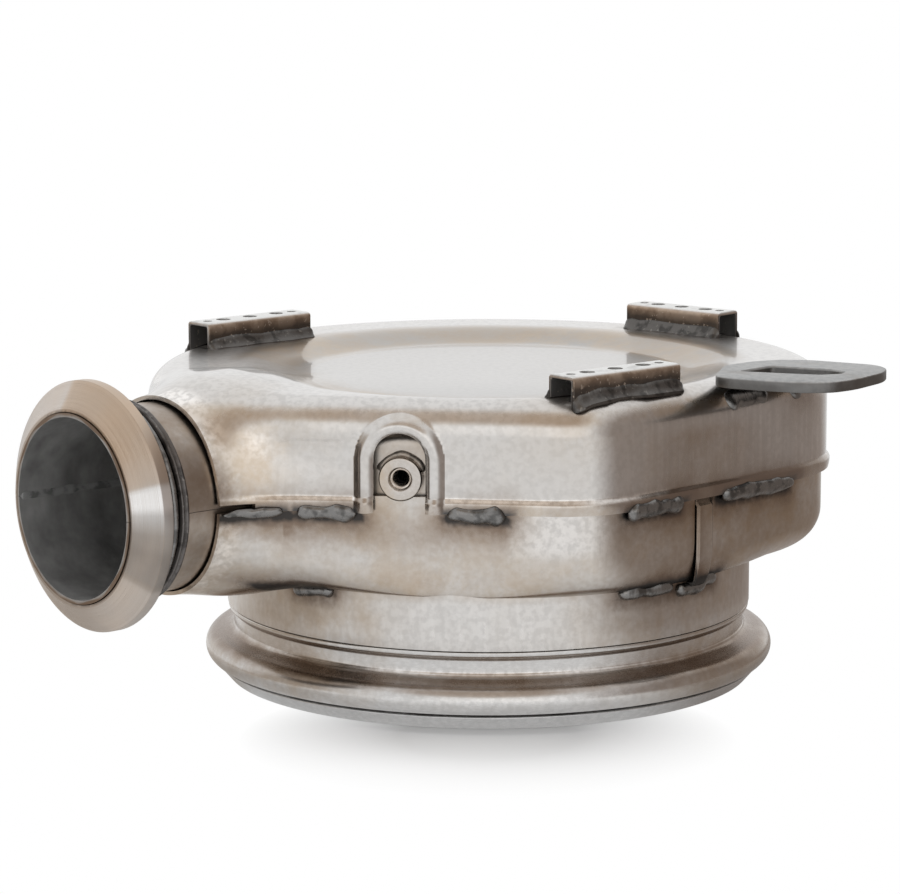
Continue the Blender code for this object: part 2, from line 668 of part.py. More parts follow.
def fillet_weld(name, start, along, side, length, mat):
    """Lumpy fillet of weld at the foot of a bracket leg, on one side of it."""
    rings = []
    steps = 9
    for i in range(steps + 1):
        s = i / steps
        size = 1 + 0.22 * math.sin(9.1 * s + 2.0 * start.x * 90) + 0.12 * math.sin(23 * s)
        size *= 0.55 if i in (0, steps) else 1.0
        foot = start + along * (length * (0.01 + 0.98 * s))
        pts = []
        for off, rise in ((0.0004, 0.0010), (0.0026 * size, 0.0010), (0.0052 * size, 0.0010),
                          (0.0038 * size, 0.0030 * size), (0.0004, 0.0058 * size)):
            p = foot + side * off
            pts.append(Vector((p.x, p.y, top_z(p.x, p.y) + rise)))
        rings.append(pts)
    return loft(name, rings, mat)


z_rest = Z_TOP + BRACKET_H
for tag, wall, corner, angle, share, drop, tint in (
        ("left", DISC_R, (-0.8393, 0.2372), 42.7, 1.0, 0.0, (0.30, 0.24, 0.19)),
        ("front", FRONT_D, (0.2925, -0.9850), 40.6, 1.01, 0.0015, (0.28, 0.22, 0.18)),
        ("rear", DISC_R, (0.4340, 0.7068), -40.1, 0.89, 0.0, (0.29, 0.23, 0.18))):
    length = BRACKET_L * share
    start, along, back = bracket("bracket_" + tag, (corner[0] * wall, corner[1] * wall), angle,
                                 length, z_rest - drop, steel("bracket_" + tag, tint, 0.45))
    fillet_weld("bracket_weld_near_" + tag, start, along, -back, length,
                steel("weld_near_" + tag, (0.15, 0.145, 0.14), 0.5))
    fillet_weld("bracket_weld_far_" + tag, start + back * BRACKET_W, along, back, length,
                steel("weld_far_" + tag, (0.16, 0.15, 0.145), 0.5))

# Lug plate with its window

k = DISC_R / 0.1910
lug_z = Z_TOP + GAP + 0.0002
lug_corners = [(0.121, -0.100), (0.128, -0.064), (0.143, -0.049), (0.160, -0.041),
               (0.178, -0.043), (0.2115, -0.061), (0.2165, -0.073), (0.2125, -0.088),
               (0.196, -0.112), (0.183, -0.123), (0.166, -0.125), (0.145, -0.117),
               (0.126, -0.107)]
window = [(0.139, -0.083), (0.1545, -0.065), (0.186, -0.079), (0.192, -0.086),
          (0.189, -0.093), (0.178, -0.097), (0.160, -0.092)]
lug = prism("lug_plate", [(x * k, y * k, lug_z) for x, y in lug_corners], (0, 0, LUG_T),
            steel("lug_steel", (0.33, 0.34, 0.34), 0.45))
boolean(lug, as_cutter(prism("cut_lug_window", [(x * k, y * k, lug_z - 0.01)
                                                for x, y in window], (0, 0, 0.03), None)))


def wall_point(field, angle, z):
    """Point on a wall at an azimuth about the can axis."""
    ca, sa = math.cos(angle), math.sin(angle)
    r = first_wall(field, 0, 0, z, np.array([ca]), np.array([sa]), np.zeros(1), 0.34)[0]
    return Vector((ca, sa, 0)), r


def lug_weld(name, a0, a1, mat):
    """Weld between the lug's underside and the rounded edge of the cover."""
    rings = []
    for i in range(7):
        s = i / 6
        out, wall = wall_point(lambda x, y, z: cover_field(x, y, z, 0.0),
                               math.radians(a0 + (a1 - a0) * s), Z_TOP - 0.022)
        size = (1 + 0.2 * math.sin(11 * s + a0)) * (0.6 if i in (0, 6) else 1)
        pts = []
        z_up = lug_z - GAP
        for back_by in (0.0100, 0.0070, 0.0070 - 0.0035 * size):
            p = out * (wall - back_by)
            pts.append(Vector((p.x, p.y, top_z(p.x, p.y) + 0.0010)))
        for back_by, down in ((0.0055 - 0.0035 * size, 0.0035 * size),
                              (0.0070 - 0.0035 * size, 0.0), (0.0100, 0.0)):
            p = out * (wall - back_by)
            pts.append(Vector((p.x, p.y, z_up - down)))
        rings.append(pts)
    return loft(name, rings, mat)


lug_weld("lug_weld_left", -33.0, -21.5, steel("lug_weld_a", (0.17, 0.17, 0.165), 0.45))
lug_weld("lug_weld_right", -15.0, -9.5, steel("lug_weld_b", (0.17, 0.17, 0.165), 0.45))

# Seam welds along the cover's lip, and the welds on the can


def seam_weld(name, a0, a1, mat):
    """Lumpy bead under the lip, against the lower shell."""
    steps = max(5, int(abs(a1 - a0) / 2.2))
    rings = []
    for i in range(steps + 1):
        s = i / steps
        angle = math.radians(a0 + (a1 - a0) * s)
        out, low = wall_point(lambda x, y, z: lower_field(x, y, z, 0.0, SHEET + 0.0008),
                              angle, Z_LIP - 0.006)
        _, same = wall_point(lambda x, y, z: lower_field(x, y, z, 0.0, 0.0), angle,
                             Z_LIP - 0.0005)
        low = max(low, same) + 0.0012
        size = 1 + 0.18 * math.sin(8 * s + a0) + 0.1 * math.sin(19 * s + a1)
        size *= 0.5 if i in (0, steps) else 1.0
        top = Z_LIP - 0.0006
        rings.append([out * low + Vector((0, 0, top)),
                      out * (low + 0.0034 * size) + Vector((0, 0, top)),
                      out * (low + 0.0040 * size) + Vector((0, 0, top - 0.0024 * size)),
                      out * (low + 0.0022 * size) + Vector((0, 0, top - 0.0058 * size)),
                      out * low + Vector((0, 0, top - 0.0066 * size))])
    return loft(name, rings, mat)


edge = NECK_AZ + math.degrees(math.asin((MOUTH_R - PIPE_SIDE + GAP) / DISC_R))
for i, (a0, a1) in enumerate(((edge, edge + 5.5), (edge + 7.3, edge + 17.0), (-98.1, -86.7),
                              (-63.2, -48.3), (-36.6, -17.5), (32, 48), (76, 92),
                              (150, 166))):
    seam_weld("seam_weld_%d" % (i + 1), a0, a1,
              steel("seam_weld_%d" % (i + 1), (0.15, 0.15, 0.145), 0.45))


def floor_z(x, y):
    """Underside of the lower shells below a point, by halving."""
    low, high = Z_FLOOR - 0.03, Z_LIP - 0.01
    for _ in range(40):
        mid = 0.5 * (low + high)
        where = (np.array([x]), np.array([y]), np.array([mid]))
        if lower_field(*where, 0.0, SHEET + 0.0008)[0] > 0:
            low = mid
        else:
            high = mid
    return low


def can_weld(name, a0, a1, mat):
    """Lumpy bead between the lower shell's floor edge and the can sleeve."""
    steps = max(5, int(abs(a1 - a0) / 2.5))
    rings = []
    for i in range(steps + 1):
        s = i / steps
        angle = math.radians(a0 + (a1 - a0) * s)
        out = Vector((math.cos(angle), math.sin(angle), 0))
        top = min(floor_z(out.x * (CAN_R + d), out.y * (CAN_R + d))
                  for d in (0.0004, 0.0025, 0.0045)) - 0.0012
        size = 1 + 0.2 * math.sin(9 * s + a0) + 0.1 * math.sin(21 * s + a1)
        size *= 0.5 if i in (0, steps) else 1.0
        r = CAN_R + 0.0004
        rings.append([out * r + Vector((0, 0, top)),
                      out * (r + 0.0036 * size) + Vector((0, 0, top)),
                      out * (r + 0.0040 * size) + Vector((0, 0, top - 0.0020 * size)),
                      out * (r + 0.0018 * size) + Vector((0, 0, top - 0.0052 * size)),
                      out * r + Vector((0, 0, top - 0.0060 * size))])
    return loft(name, rings, mat)


for i, (a0, a1) in enumerate(((-62.0, -48.5), (-47.0, -34.0), (-134.5, -124.0), (60, 76),
                              (148, 164))):
    can_weld("can_weld_%d" % (i + 1), a0, a1,
             steel("can_weld_%d" % (i + 1), (0.15, 0.145, 0.14), 0.45))

# The frame stands the part on its foot, centred on its own box

bpy.context.view_layer.update()
graph = bpy.context.evaluated_depsgraph_get()
low = Vector((9, 9, 9))
high = Vector((-9, -9, -9))
for obj in bpy.data.objects:
    if obj.type != 'MESH' or obj.hide_render:
        continue
    shape = obj.evaluated_get(graph)
    for vert in shape.data.vertices:
        p = shape.matrix_world @ vert.co
        low = Vector(map(min, low, p))
        high = Vector(map(max, high, p))
root.location = (-(low.x + high.x) / 2, -(low.y + high.y) / 2, -low.z)
bpy.context.view_layer.update()
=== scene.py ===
# Diesel oxidation catalyst: a ceramic brick in a round can, under a pressed
# stainless steel housing that takes the exhaust gas in through a side pipe.

import math

import bmesh
import bpy
import numpy as np
from mathutils import Matrix, Vector


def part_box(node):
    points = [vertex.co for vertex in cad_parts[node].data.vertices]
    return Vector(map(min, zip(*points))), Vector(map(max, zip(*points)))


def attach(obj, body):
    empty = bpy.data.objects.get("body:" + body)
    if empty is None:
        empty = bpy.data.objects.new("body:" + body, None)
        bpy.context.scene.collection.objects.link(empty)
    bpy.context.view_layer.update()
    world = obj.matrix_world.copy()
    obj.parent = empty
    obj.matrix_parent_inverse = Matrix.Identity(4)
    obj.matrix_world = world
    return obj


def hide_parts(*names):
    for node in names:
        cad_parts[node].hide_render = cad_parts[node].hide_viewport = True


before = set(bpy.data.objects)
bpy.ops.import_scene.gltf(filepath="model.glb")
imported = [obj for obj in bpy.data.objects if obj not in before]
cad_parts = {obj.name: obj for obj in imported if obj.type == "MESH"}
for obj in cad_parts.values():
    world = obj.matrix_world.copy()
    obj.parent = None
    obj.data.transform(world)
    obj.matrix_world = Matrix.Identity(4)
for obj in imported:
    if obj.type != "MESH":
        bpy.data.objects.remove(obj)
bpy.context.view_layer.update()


# Catalyst brick: a round block of cordierite with fine square channels from face to
# face, coated with precious metal. It is extruded, fired and held in the can by a mat.
# Its middle is the can's axis, and every piece is made around that axis.

brick_low, brick_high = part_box("catalyst_brick")
CAN_AT = (brick_low + brick_high) / 2
CAN_AT.z = 0.0
CELL = 0.0016
CELL_WALL = (0.40, 0.345, 0.27)
CHANNEL_SHADE = (0.035, 0.03, 0.027)


class Wire:
    """A socket of a finish's nodes. Sums and products of it add Math nodes."""

    def __init__(self, finish, socket):
        self.finish = finish
        self.socket = socket

    def math(self, operation, first, second=0.0, clamp=False):
        return self.finish.add("ShaderNodeMath", {"operation": operation, "use_clamp": clamp},
                               {0: first, 1: second})

    def __add__(self, other):
        return self.math("ADD", self, other)

    def __sub__(self, other):
        return self.math("SUBTRACT", self, other)

    def __rsub__(self, other):
        return self.math("SUBTRACT", other, self)

    def __mul__(self, other):
        return self.math("MULTIPLY", self, other)

    def __pow__(self, other):
        return self.math("POWER", self, other)

    def __abs__(self):
        return self.math("ABSOLUTE", self)

    __radd__ = __add__
    __rmul__ = __mul__

    def limit(self):
        return self.math("ADD", self, 0.0, clamp=True)

    def rise(self, start, width):
        """0 below start, 1 from start plus width."""
        return self.math("MULTIPLY", self - start, 1.0 / width, clamp=True)


class Finish:
    """One material: a Principled shader and the nodes that feed it."""

    def __init__(self, name, colour, rough, metal=1.0, **plain):
        self.material = bpy.data.materials.new(name)
        self.material.use_nodes = True
        self.tree = self.material.node_tree
        self.shader = self.tree.nodes["Principled BSDF"]
        self.shader.inputs["Base Color"].default_value = (*colour, 1.0)
        self.shader.inputs["Roughness"].default_value = rough
        self.shader.inputs["Metallic"].default_value = metal
        for socket, value in plain.items():
            self.shader.inputs[socket.replace("_", " ")].default_value = value
        self.material.diffuse_color = (*colour, 1.0)
        self.spot = self.add("ShaderNodeTexCoord", out="Object")

    def add(self, kind, settings=None, values=None, out=0):
        """A node with its settings first, then values or wires in its sockets."""
        node = self.tree.nodes.new(kind)
        for key, value in (settings or {}).items():
            setattr(node, key, value)
        for key, value in (values or {}).items():
            if isinstance(value, Wire):
                self.tree.links.new(value.socket, node.inputs[key])
            else:
                node.inputs[key].default_value = value
        return Wire(self, node.outputs[out])

    def paint(self, name):
        """A mask stored on the piece's points."""
        return self.add("ShaderNodeAttribute", {"attribute_name": name}, out="Fac")

    def axis(self, letter):
        return self.add("ShaderNodeSeparateXYZ", values={0: self.spot}, out=letter)

    def grain(self, scale, detail=2.0, stretch=(1, 1, 1), rough=0.5):
        """Noise from about 0.3 to 0.7, drawn out along an axis by a small stretch."""
        where = self.add("ShaderNodeVectorMath", {"operation": "MULTIPLY"},
                         {0: self.spot, 1: tuple(scale * s for s in stretch)})
        return self.add("ShaderNodeTexNoise", values={
            "Vector": where, "Scale": 1.0, "Detail": detail, "Roughness": rough}, out="Fac")

    def mix(self, under, over, share):
        """Two colours mixed; a share of 1 is all over."""
        under, over = ((*c, 1.0) if isinstance(c, tuple) else c for c in (under, over))
        return self.add("ShaderNodeMix", {"data_type": "RGBA"},
                        {0: share, 6: under, 7: over}, out=2)

    def feed(self, socket, wire):
        self.tree.links.new(wire.socket, self.shader.inputs[socket])

    def bump(self, height, distance):
        self.feed("Normal", self.add("ShaderNodeBump", values={
            "Height": height, "Distance": distance, "Strength": 1.0}))


def dress(node, finish):
    """Gives a CAD node that stays its finish."""
    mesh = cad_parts[node].data
    mesh.materials.clear()
    mesh.materials.append(finish.material)


brick = Finish("catalyst_ceramic", CELL_WALL, 0.9, 0.0)
across = [abs(brick.add("ShaderNodeMath", {"operation": "WRAP"},
                        {0: brick.axis(letter) - centre, 1: -CELL / 2, 2: CELL / 2}))
          for letter, centre in (("X", CAN_AT.x), ("Y", CAN_AT.y))]
wall = brick.add("ShaderNodeMath", {"operation": "MAXIMUM"}, {0: across[0], 1: across[1]})
# The channels are not cut: their openings are painted dark, as painted shade inside the holes.
channel = 1 - wall.rise(CELL * 0.38, CELL * 0.06)
stain = brick.grain(30, 4)
ceramic = brick.mix(CELL_WALL, (0.30, 0.26, 0.21), stain.rise(0.35, 0.3))
brick.feed("Base Color", brick.mix(ceramic, CHANNEL_SHADE, channel))
brick.bump((1 - channel) + stain * 0.2, 0.0008)
dress("catalyst_brick", brick)


# Support mat, fibre insulation and the mantle: the brick is wrapped in a swelling
# ceramic fibre mat and pushed into a thin steel mantle, with loose fibre around it.
# The pad under the dish is the same pale fibre.

def fibre(name, colour, shade):
    """Matted ceramic fibre, flecked and uneven."""
    made = Finish(name, colour, 0.95, 0.0)
    felt = made.grain(900, 4, rough=0.7)
    cloud = made.grain(45, 3)
    tone = made.mix(colour, shade, cloud.rise(0.35, 0.3))
    made.feed("Base Color", made.mix(tone, tuple(c * 0.7 for c in colour), felt.rise(0.5, 0.2)))
    made.bump(felt + cloud, 0.0006)
    return made


wool = fibre("wool_fibre", (0.72, 0.70, 0.66), (0.60, 0.54, 0.45))
dress("can_insulation", wool)
dress("insulation_pad", wool)
dress("support_mat", fibre("mat_fibre", (0.66, 0.60, 0.50), (0.52, 0.45, 0.36)))


def inner_steel(name, colour, rough):
    """Thin rolled steel inside the can, straw coloured and sooty from the gas."""
    made = Finish(name, colour, rough)
    drawn = made.grain(700, 3, (1, 1, 0.04))
    cloud = made.grain(40, 4)
    warm = made.mix(colour, (0.36, 0.27, 0.18), cloud.rise(0.42, 0.25))
    made.feed("Base Color", made.mix(warm, (0.16, 0.14, 0.13), made.grain(14, 3).rise(0.5, 0.3)))
    made.feed("Roughness", rough + drawn * 0.25 + cloud * 0.1)
    made.bump(drawn, 0.00006)
    return made


dress("mantle", inner_steel("mantle_rolled_steel", (0.50, 0.47, 0.44), 0.25))
dress("end_ring", inner_steel("end_ring_steel", (0.46, 0.44, 0.42), 0.3))


# Can sleeve: the thin outer skin of the round can, rolled stainless sheet. Its upper
# edge is welded to the housing's floor, and the weld heat has browned the sheet.

CAN_R = 0.1478
SLEEVE_T = 0.0015
GAP = 0.0003
ROUND = 288
Z_BAND = 0.0414
Z_FLOOR = 0.0709
CAN_WELDS = ((-62.0, -48.5), (-47.0, -34.0), (-134.5, -124.0), (60.0, 76.0), (148.0, 164.0))
CLEAN = (0.62, 0.605, 0.59)
STRAW = (0.50, 0.40, 0.29)
BROWN = (0.235, 0.175, 0.135)
BURN = (0.060, 0.055, 0.052)


def made_piece(name, bm, finish=None, slot=None, *nodes):
    """A smooth piece in the place of its CAD nodes, with its ride; its slot is not used."""
    bmesh.ops.recalc_face_normals(bm, faces=bm.faces)
    mesh = bpy.data.meshes.new(name)
    bm.to_mesh(mesh)
    bm.free()
    obj = bpy.data.objects.new(name, mesh)
    bpy.context.scene.collection.objects.link(obj)
    if finish:
        settle(obj, finish, slot, *nodes)
    return obj


def settle(obj, finish, slot, *nodes):
    """Finishes and places a piece, hangs it on the root body and hides its CAD nodes."""
    obj.data.shade_smooth()
    obj.data.set_sharp_from_angle(angle=math.radians(32))
    obj.data.materials.clear()
    obj.data.materials.append(finish.material)
    obj.location = CAN_AT
    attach(obj, "root")
    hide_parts(*nodes)


def skin_over(bm, rows, closed_rows=False, closed_ring=True):
    """Quads between equal rows of vertices."""
    count = len(rows[0])
    pairs = list(zip(rows, rows[1:]))
    if closed_rows:
        pairs.append((rows[-1], rows[0]))
    for low, high in pairs:
        for i in range(count if closed_ring else count - 1):
            k = (i + 1) % count
            bm.faces.new((low[i], low[k], high[k], high[i]))


def softened(profile, size, steps=4):
    """A closed profile with its corners rounded."""
    points = [Vector(p) for p in profile]
    out = []
    for i, corner in enumerate(points):
        before, after = points[i - 1] - corner, points[(i + 1) % len(points)] - corner
        start = corner + before.normalized() * min(size, before.length * 0.45)
        end = corner + after.normalized() * min(size, after.length * 0.45)
        for j in range(steps + 1):
            s = j / steps
            out.append(start.lerp(corner, s).lerp(corner.lerp(end, s), s))
    return out


def turned(profile, segs, place=None, wobble=None):
    """Ring turned about Z from a closed profile of radius and height."""
    bm = bmesh.new()
    rows = []
    for radius, height in profile:
        row = []
        for i in range(segs):
            turn = 2 * math.pi * i / segs
            r = radius + (wobble(turn, radius) if wobble else 0.0)
            p = Vector((r * math.cos(turn), r * math.sin(turn), height))
            row.append(bm.verts.new(place @ p if place else p))
        rows.append(row)
    skin_over(bm, rows, closed_rows=True)
    return bm


def points_of(obj):
    """A mesh's points as three arrays."""
    co = np.zeros(len(obj.data.vertices) * 3)
    obj.data.vertices.foreach_get("co", co)
    return co.reshape(-1, 3).T


def store(obj, **masks):
    """Keeps masks from 0 to 1 on a piece's points, for its finish to read."""
    for name, values in masks.items():
        layer = obj.data.attributes.new(name, 'FLOAT', 'POINT')
        layer.data.foreach_set("value", np.clip(values, 0, 1).astype(np.float32))


def wrap(angle):
    """Angle in degrees brought to -180 to 180."""
    return (angle + 180) % 360 - 180


def azimuth(p, centre=(0.0, 0.0)):
    """Direction of points from a vertical line, in degrees."""
    return np.degrees(np.arctan2(p[1] - centre[1], p[0] - centre[0]))


def weld_gap(p, arcs, height, radius=None):
    """Distance of points from the nearest bead laid round the can's axis at a height."""
    r, turn = np.hypot(p[0], p[1]), azimuth(p)
    gaps = []
    for low, high in arcs:
        off = np.abs(wrap(turn - (low + high) / 2)) - (high - low) / 2
        gap = np.hypot(np.radians(np.maximum(off, 0)) * r, p[2] - height)
        gaps.append(gap if radius is None else np.hypot(gap, r - radius))
    return np.min(gaps, axis=0)


def halo(distance, reach):
    """1 at no distance, fading to nothing within about twice the reach."""
    return np.exp(-(distance / reach) ** 2)


def stainless(name, rough=0.22, brush=(1, 1, 0.03), lines=0.5, clean=CLEAN, smooth_top=0.0,
              wave=0.5, drawn="", coat=0.0):
    """Brushed stainless sheet. The masks tint, brown and burn colour it with heat tint, and in
    places carry painted shade and painted reflection; bright is painted highlight and grey painted
    shade."""
    made = Finish(name, clean, rough, Coat_Roughness=0.04)
    fine = made.grain(1300, 3, brush)
    coarse = made.grain(360, 3, brush)
    cloud = made.grain(34, 5, rough=0.6)
    fleck = made.grain(300, 3)
    swell = made.grain(16, 1)
    patchy = made.grain(20, 6, rough=0.7).rise(0.47, 0.09)
    upward = made.add("ShaderNodeSeparateXYZ", values={
        0: made.add("ShaderNodeNewGeometry", out="Normal")}, out="Z")
    upright = 1 - upward.rise(0.45, 0.4) * smooth_top
    if drawn:
        lines = made.paint(drawn) * lines
    uneven = (cloud - 0.5) * 1.6 + (fleck - 0.5) * 0.3
    tint = (made.paint("tint") * (0.72 + patchy * 0.5 + uneven * 1.6)).limit()
    brown = (made.paint("brown") * 1.2 + uneven * made.paint("brown") ** 0.5).limit()
    burn = (made.paint("burn") * 1.5 + (uneven + (fleck - 0.5)) * 0.9
            * made.paint("burn") ** 0.5).limit()
    streak = coarse.rise(0.36, 0.3) * upright * lines
    tone = made.mix(clean, tuple(c * 0.80 for c in clean), streak)
    # Painted highlights lighten the sheet, and painted shade greys it.
    tone = made.mix(tone, tuple(min(1.0, c * 1.6) for c in clean), made.paint("bright"))
    tone = made.mix(tone, tuple(c * 0.84 for c in clean), fleck.rise(0.42, 0.2) * 0.6)
    tone = made.mix(tone, (0.33, 0.322, 0.315), made.paint("grey"))
    tone = made.mix(tone, STRAW, tint * 0.9)
    tone = made.mix(tone, BROWN, brown)
    tone = made.mix(tone, BURN, burn)
    made.tone = tone
    made.feed("Base Color", tone)
    made.feed("Coat Weight", (upright * 0.45 + 0.55) * coat)
    polish = (rough - 0.09) * upright + (1 - upright) * 0.31
    made.feed("Roughness", polish + fine * lines * upright * 0.12 + coarse * 0.08 * upright
              + cloud * 0.03 + brown * 0.08 + burn * 0.2)
    made.bump(fine * upright * lines * 0.05 + coarse * upright * lines * 0.03
              + fleck * burn * 0.16 + swell * wave, 0.001)
    return made


z_sleeve = Z_FLOOR + 0.003
sleeve_profile = [(CAN_R - SLEEVE_T, Z_BAND + GAP), (CAN_R, Z_BAND + GAP), (CAN_R, 0.050),
                  (CAN_R, 0.058), (CAN_R, 0.066), (CAN_R, z_sleeve), (CAN_R - SLEEVE_T, z_sleeve)]
rolled = stainless("sleeve_stainless", 0.30, (1, 1, 0.12), 0.4)
sleeve = made_piece("can_sleeve_sheet", turned(softened(sleeve_profile, 0.0004, 2), ROUND),
                    rolled, "sleeve_steel", "can_sleeve")
p = points_of(sleeve)
near = weld_gap(p, CAN_WELDS, Z_FLOOR - 0.002)
# The front band below the floor gets a painted highlight; away from it the sleeve is tinted and
# browned, partly heat tint and partly painted shade.
pale = np.exp(-((wrap(azimuth(p) + 91) / 24) ** 6)) * (p[2] < Z_FLOOR - 0.0045)
store(sleeve, burn=halo(near, 0.0026), brown=halo(near, 0.008) * 0.7 + 0.14 * (1 - pale),
      tint=0.06 + 0.40 * (1 - pale), bright=0.16 * pale)


# Outlet ring: a pressed band under the can with a rolled bead and a tapered skirt, so
# that a clamp can pull it onto the next section. Spun from stainless sheet.

SHEET = 0.0020
SKIRT_H = 0.0092
SKIRT_IN = 0.0068
BEAD_OUT = 0.0127
BEAD_ROUND = 0.0088
bead_r = CAN_R + BEAD_OUT
bead_mid = 0.0166
band_r = CAN_R - 0.0004
foot_r = CAN_R - 0.0001
skirt_r = foot_r + SKIRT_IN
groove_r = band_r - 0.0030


def rolled_bead(across, up, low, high, count):
    """Points round the rolled bead, between two angles in degrees."""
    return [(bead_r - BEAD_ROUND + across * math.cos(a), bead_mid + up * math.sin(a))
            for a in np.radians(np.linspace(low, high, count))]


ring_profile = [(foot_r - SHEET, 0), (foot_r, 0), (skirt_r - 0.0004, SKIRT_H - 0.0018),
                (skirt_r - 0.0024, SKIRT_H - 0.0008), (skirt_r - 0.0020, SKIRT_H + 0.0002),
                (skirt_r + 0.0004, SKIRT_H + 0.0004)]
ring_profile += rolled_bead(BEAD_ROUND, 0.0084, -58, 84, 19)
ring_profile += [
    (CAN_R + 0.0022, bead_mid + 0.0089), (CAN_R - 0.0008, bead_mid + 0.0100),
    (groove_r + 0.0010, bead_mid + 0.0112), (groove_r + 0.0006, bead_mid + 0.0122),
    (groove_r, bead_mid + 0.0128), (groove_r, 0.0322), (groove_r, Z_BAND - 0.0050),
    (groove_r + 0.0010, Z_BAND - 0.0043), (band_r - 0.0008, Z_BAND - 0.0034),
    (band_r, Z_BAND - 0.0022), (band_r, Z_BAND - 0.0002), (band_r - SHEET, Z_BAND),
    (groove_r - SHEET, Z_BAND - 0.0040), (groove_r - SHEET, bead_mid + 0.0110),
    (CAN_R - 0.0010, bead_mid + 0.0080)]
ring_profile += rolled_bead(0.0068, 0.0064, 80, -50, 12)
ring_profile += [(skirt_r - SHEET, SKIRT_H)]
spun = stainless("outlet_stainless", 0.20, (1, 1, 4.0), 0.5, (0.62, 0.615, 0.61), wave=0.25)
outlet = made_piece("outlet_ring_spun", turned(softened(ring_profile, 0.0006, 3), ROUND), spun,
                    "outlet_steel", "outlet_ring")
p = points_of(outlet)
r = np.hypot(p[0], p[1])
# Painted light on the ring: its sides are tinted and browned, partly heat tint and partly painted
# shade; the cove over the bead is painted dark as shade, the notch under the bead gets a painted
# shadow line, and the bead's crest and a line over the cove get painted highlights.
sides = np.clip((np.abs(wrap(azimuth(p) + 88)) - 18) / 30, 0, 1)
cove_shade = np.exp(-((p[2] - (bead_mid + 0.0086)) / 0.0034) ** 2) * (r > groove_r - 0.001)
skirt = p[2] < SKIRT_H + 0.0004
store(outlet, tint=(0.06 + 0.40 * sides + 0.20 * cove_shade) * ~skirt,
      brown=(0.72 * cove_shade + 0.16 * sides) * ~skirt,
      burn=0.8 * halo(np.hypot(r - skirt_r + 0.0022, p[2] - SKIRT_H + 0.0003), 0.0011),
      bright=0.20 * np.exp(-((p[2] - bead_mid) / 0.003) ** 2) * (1 - sides)
      + 0.9 * np.exp(-((p[2] - bead_mid - 0.0124) / 0.0010) ** 2) * (1 - 0.5 * sides))


# Inner skins: an upper and a lower half of thick stainless sheet, pressed and welded
# gas tight. Their halves run out together as the inlet pipe, sooty grey inside.

PIPE_R = 0.0508
SKIN = 0.0022
PIPE_SIDE = 0.0350
TURN = math.radians(48.2)
AXIS = (-math.sin(TURN), -math.cos(TURN))
SIDE = (math.cos(TURN), -math.sin(TURN))
NECK_AZ = math.degrees(math.atan2(AXIS[1], AXIS[0]))
DISC_R = 0.1910
FRONT_D = 0.1528
FRONT_N = (-0.1271, -0.9919)
FRONT_U = (0.9919, -0.1271)
CHAMFER_D = 0.1554
CHAMFER_N = (math.sqrt(0.5), -math.sqrt(0.5))
CORNER_ROUND = 0.0235
Z_PART = 0.1189
PIPE_END = 0.2621
OVERRUN = 0.030
MANTLE_R = 0.1403
INNER_IN = 0.0085
INNER_ROUND = 0.012
INNER_FLOOR_ROUND = 0.016
INNER_BLEND = 0.022
Z_IN_TOP = 0.1620
Z_IN_FLOOR = 0.0789


def neck_point(t, beside, z=0.0):
    """Point at a distance along the neck and beside its middle."""
    side = beside - PIPE_SIDE
    return AXIS[0] * t + SIDE[0] * side, AXIS[1] * t + SIDE[1] * side, z


def neck_ways(x, y):
    """Distances of points along the neck, and beside its middle."""
    return x * AXIS[0] + y * AXIS[1], x * SIDE[0] + y * SIDE[1] + PIPE_SIDE


def front_ways(x, y):
    """Distances of points along the front wall, and out towards it."""
    return x * FRONT_U[0] + y * FRONT_U[1], x * FRONT_N[0] + y * FRONT_N[1]


# The skins are meshed by rays from one upright line, which stands in line with the neck.
RAY_C = neck_point(0.056, 0)[:2]
RAY_REACH = 0.34
NECK_SPREAD = 33
SEAM_SPREAD = 4.5
LEAST_TURN = 0.22
BEND_WEIGHT = 0.055


def soft_max(a, b, k):
    """The greater of two, with a blend k wide between them."""
    h = np.clip(0.5 + 0.5 * (a - b) / k, 0, 1)
    return b + (a - b) * h + k * h * (1 - h)


def soft_min(a, b, k):
    """The lesser of two, with a blend k wide between them."""
    return -soft_max(-a, -b, k)


def ramp(v):
    """Smooth step from 0 to 1."""
    v = np.clip(v, 0, 1)
    return v * v * (3 - 2 * v)


def plan(x, y):
    """Distance outside the housing's wall, seen from above."""
    front = front_ways(x, y)[1] - FRONT_D
    chamfer = x * CHAMFER_N[0] + y * CHAMFER_N[1] - CHAMFER_D
    wall = soft_max(np.hypot(x, y) - DISC_R, front, CORNER_ROUND)
    return soft_max(wall, chamfer, CORNER_ROUND)


def neck(x, y, z, radius, reach, end, fade=0.4):
    """Distance outside the inlet neck, which fades out inside the housing."""
    t, n = neck_ways(x, y)
    tube = np.hypot(n, z - Z_PART) - radius + fade * np.maximum(0, reach - t)
    return np.maximum(tube, t - end)


def rounded(q1, q2, r):
    """Distance to the edge of two faces that meet in a rounding."""
    out = np.hypot(np.maximum(q1 + r, 0), np.maximum(q2 + r, 0))
    return out + np.minimum(np.maximum(q1 + r, q2 + r), 0) - r


def floored(wall, below, ledge, least, most, inset):
    """Wall rounded into a floor, by a radius that its ledge over the can leaves room for."""
    radius = np.clip(0.9 * ledge, least, most) - inset
    return rounded(wall, below * radius / (most - inset), radius)


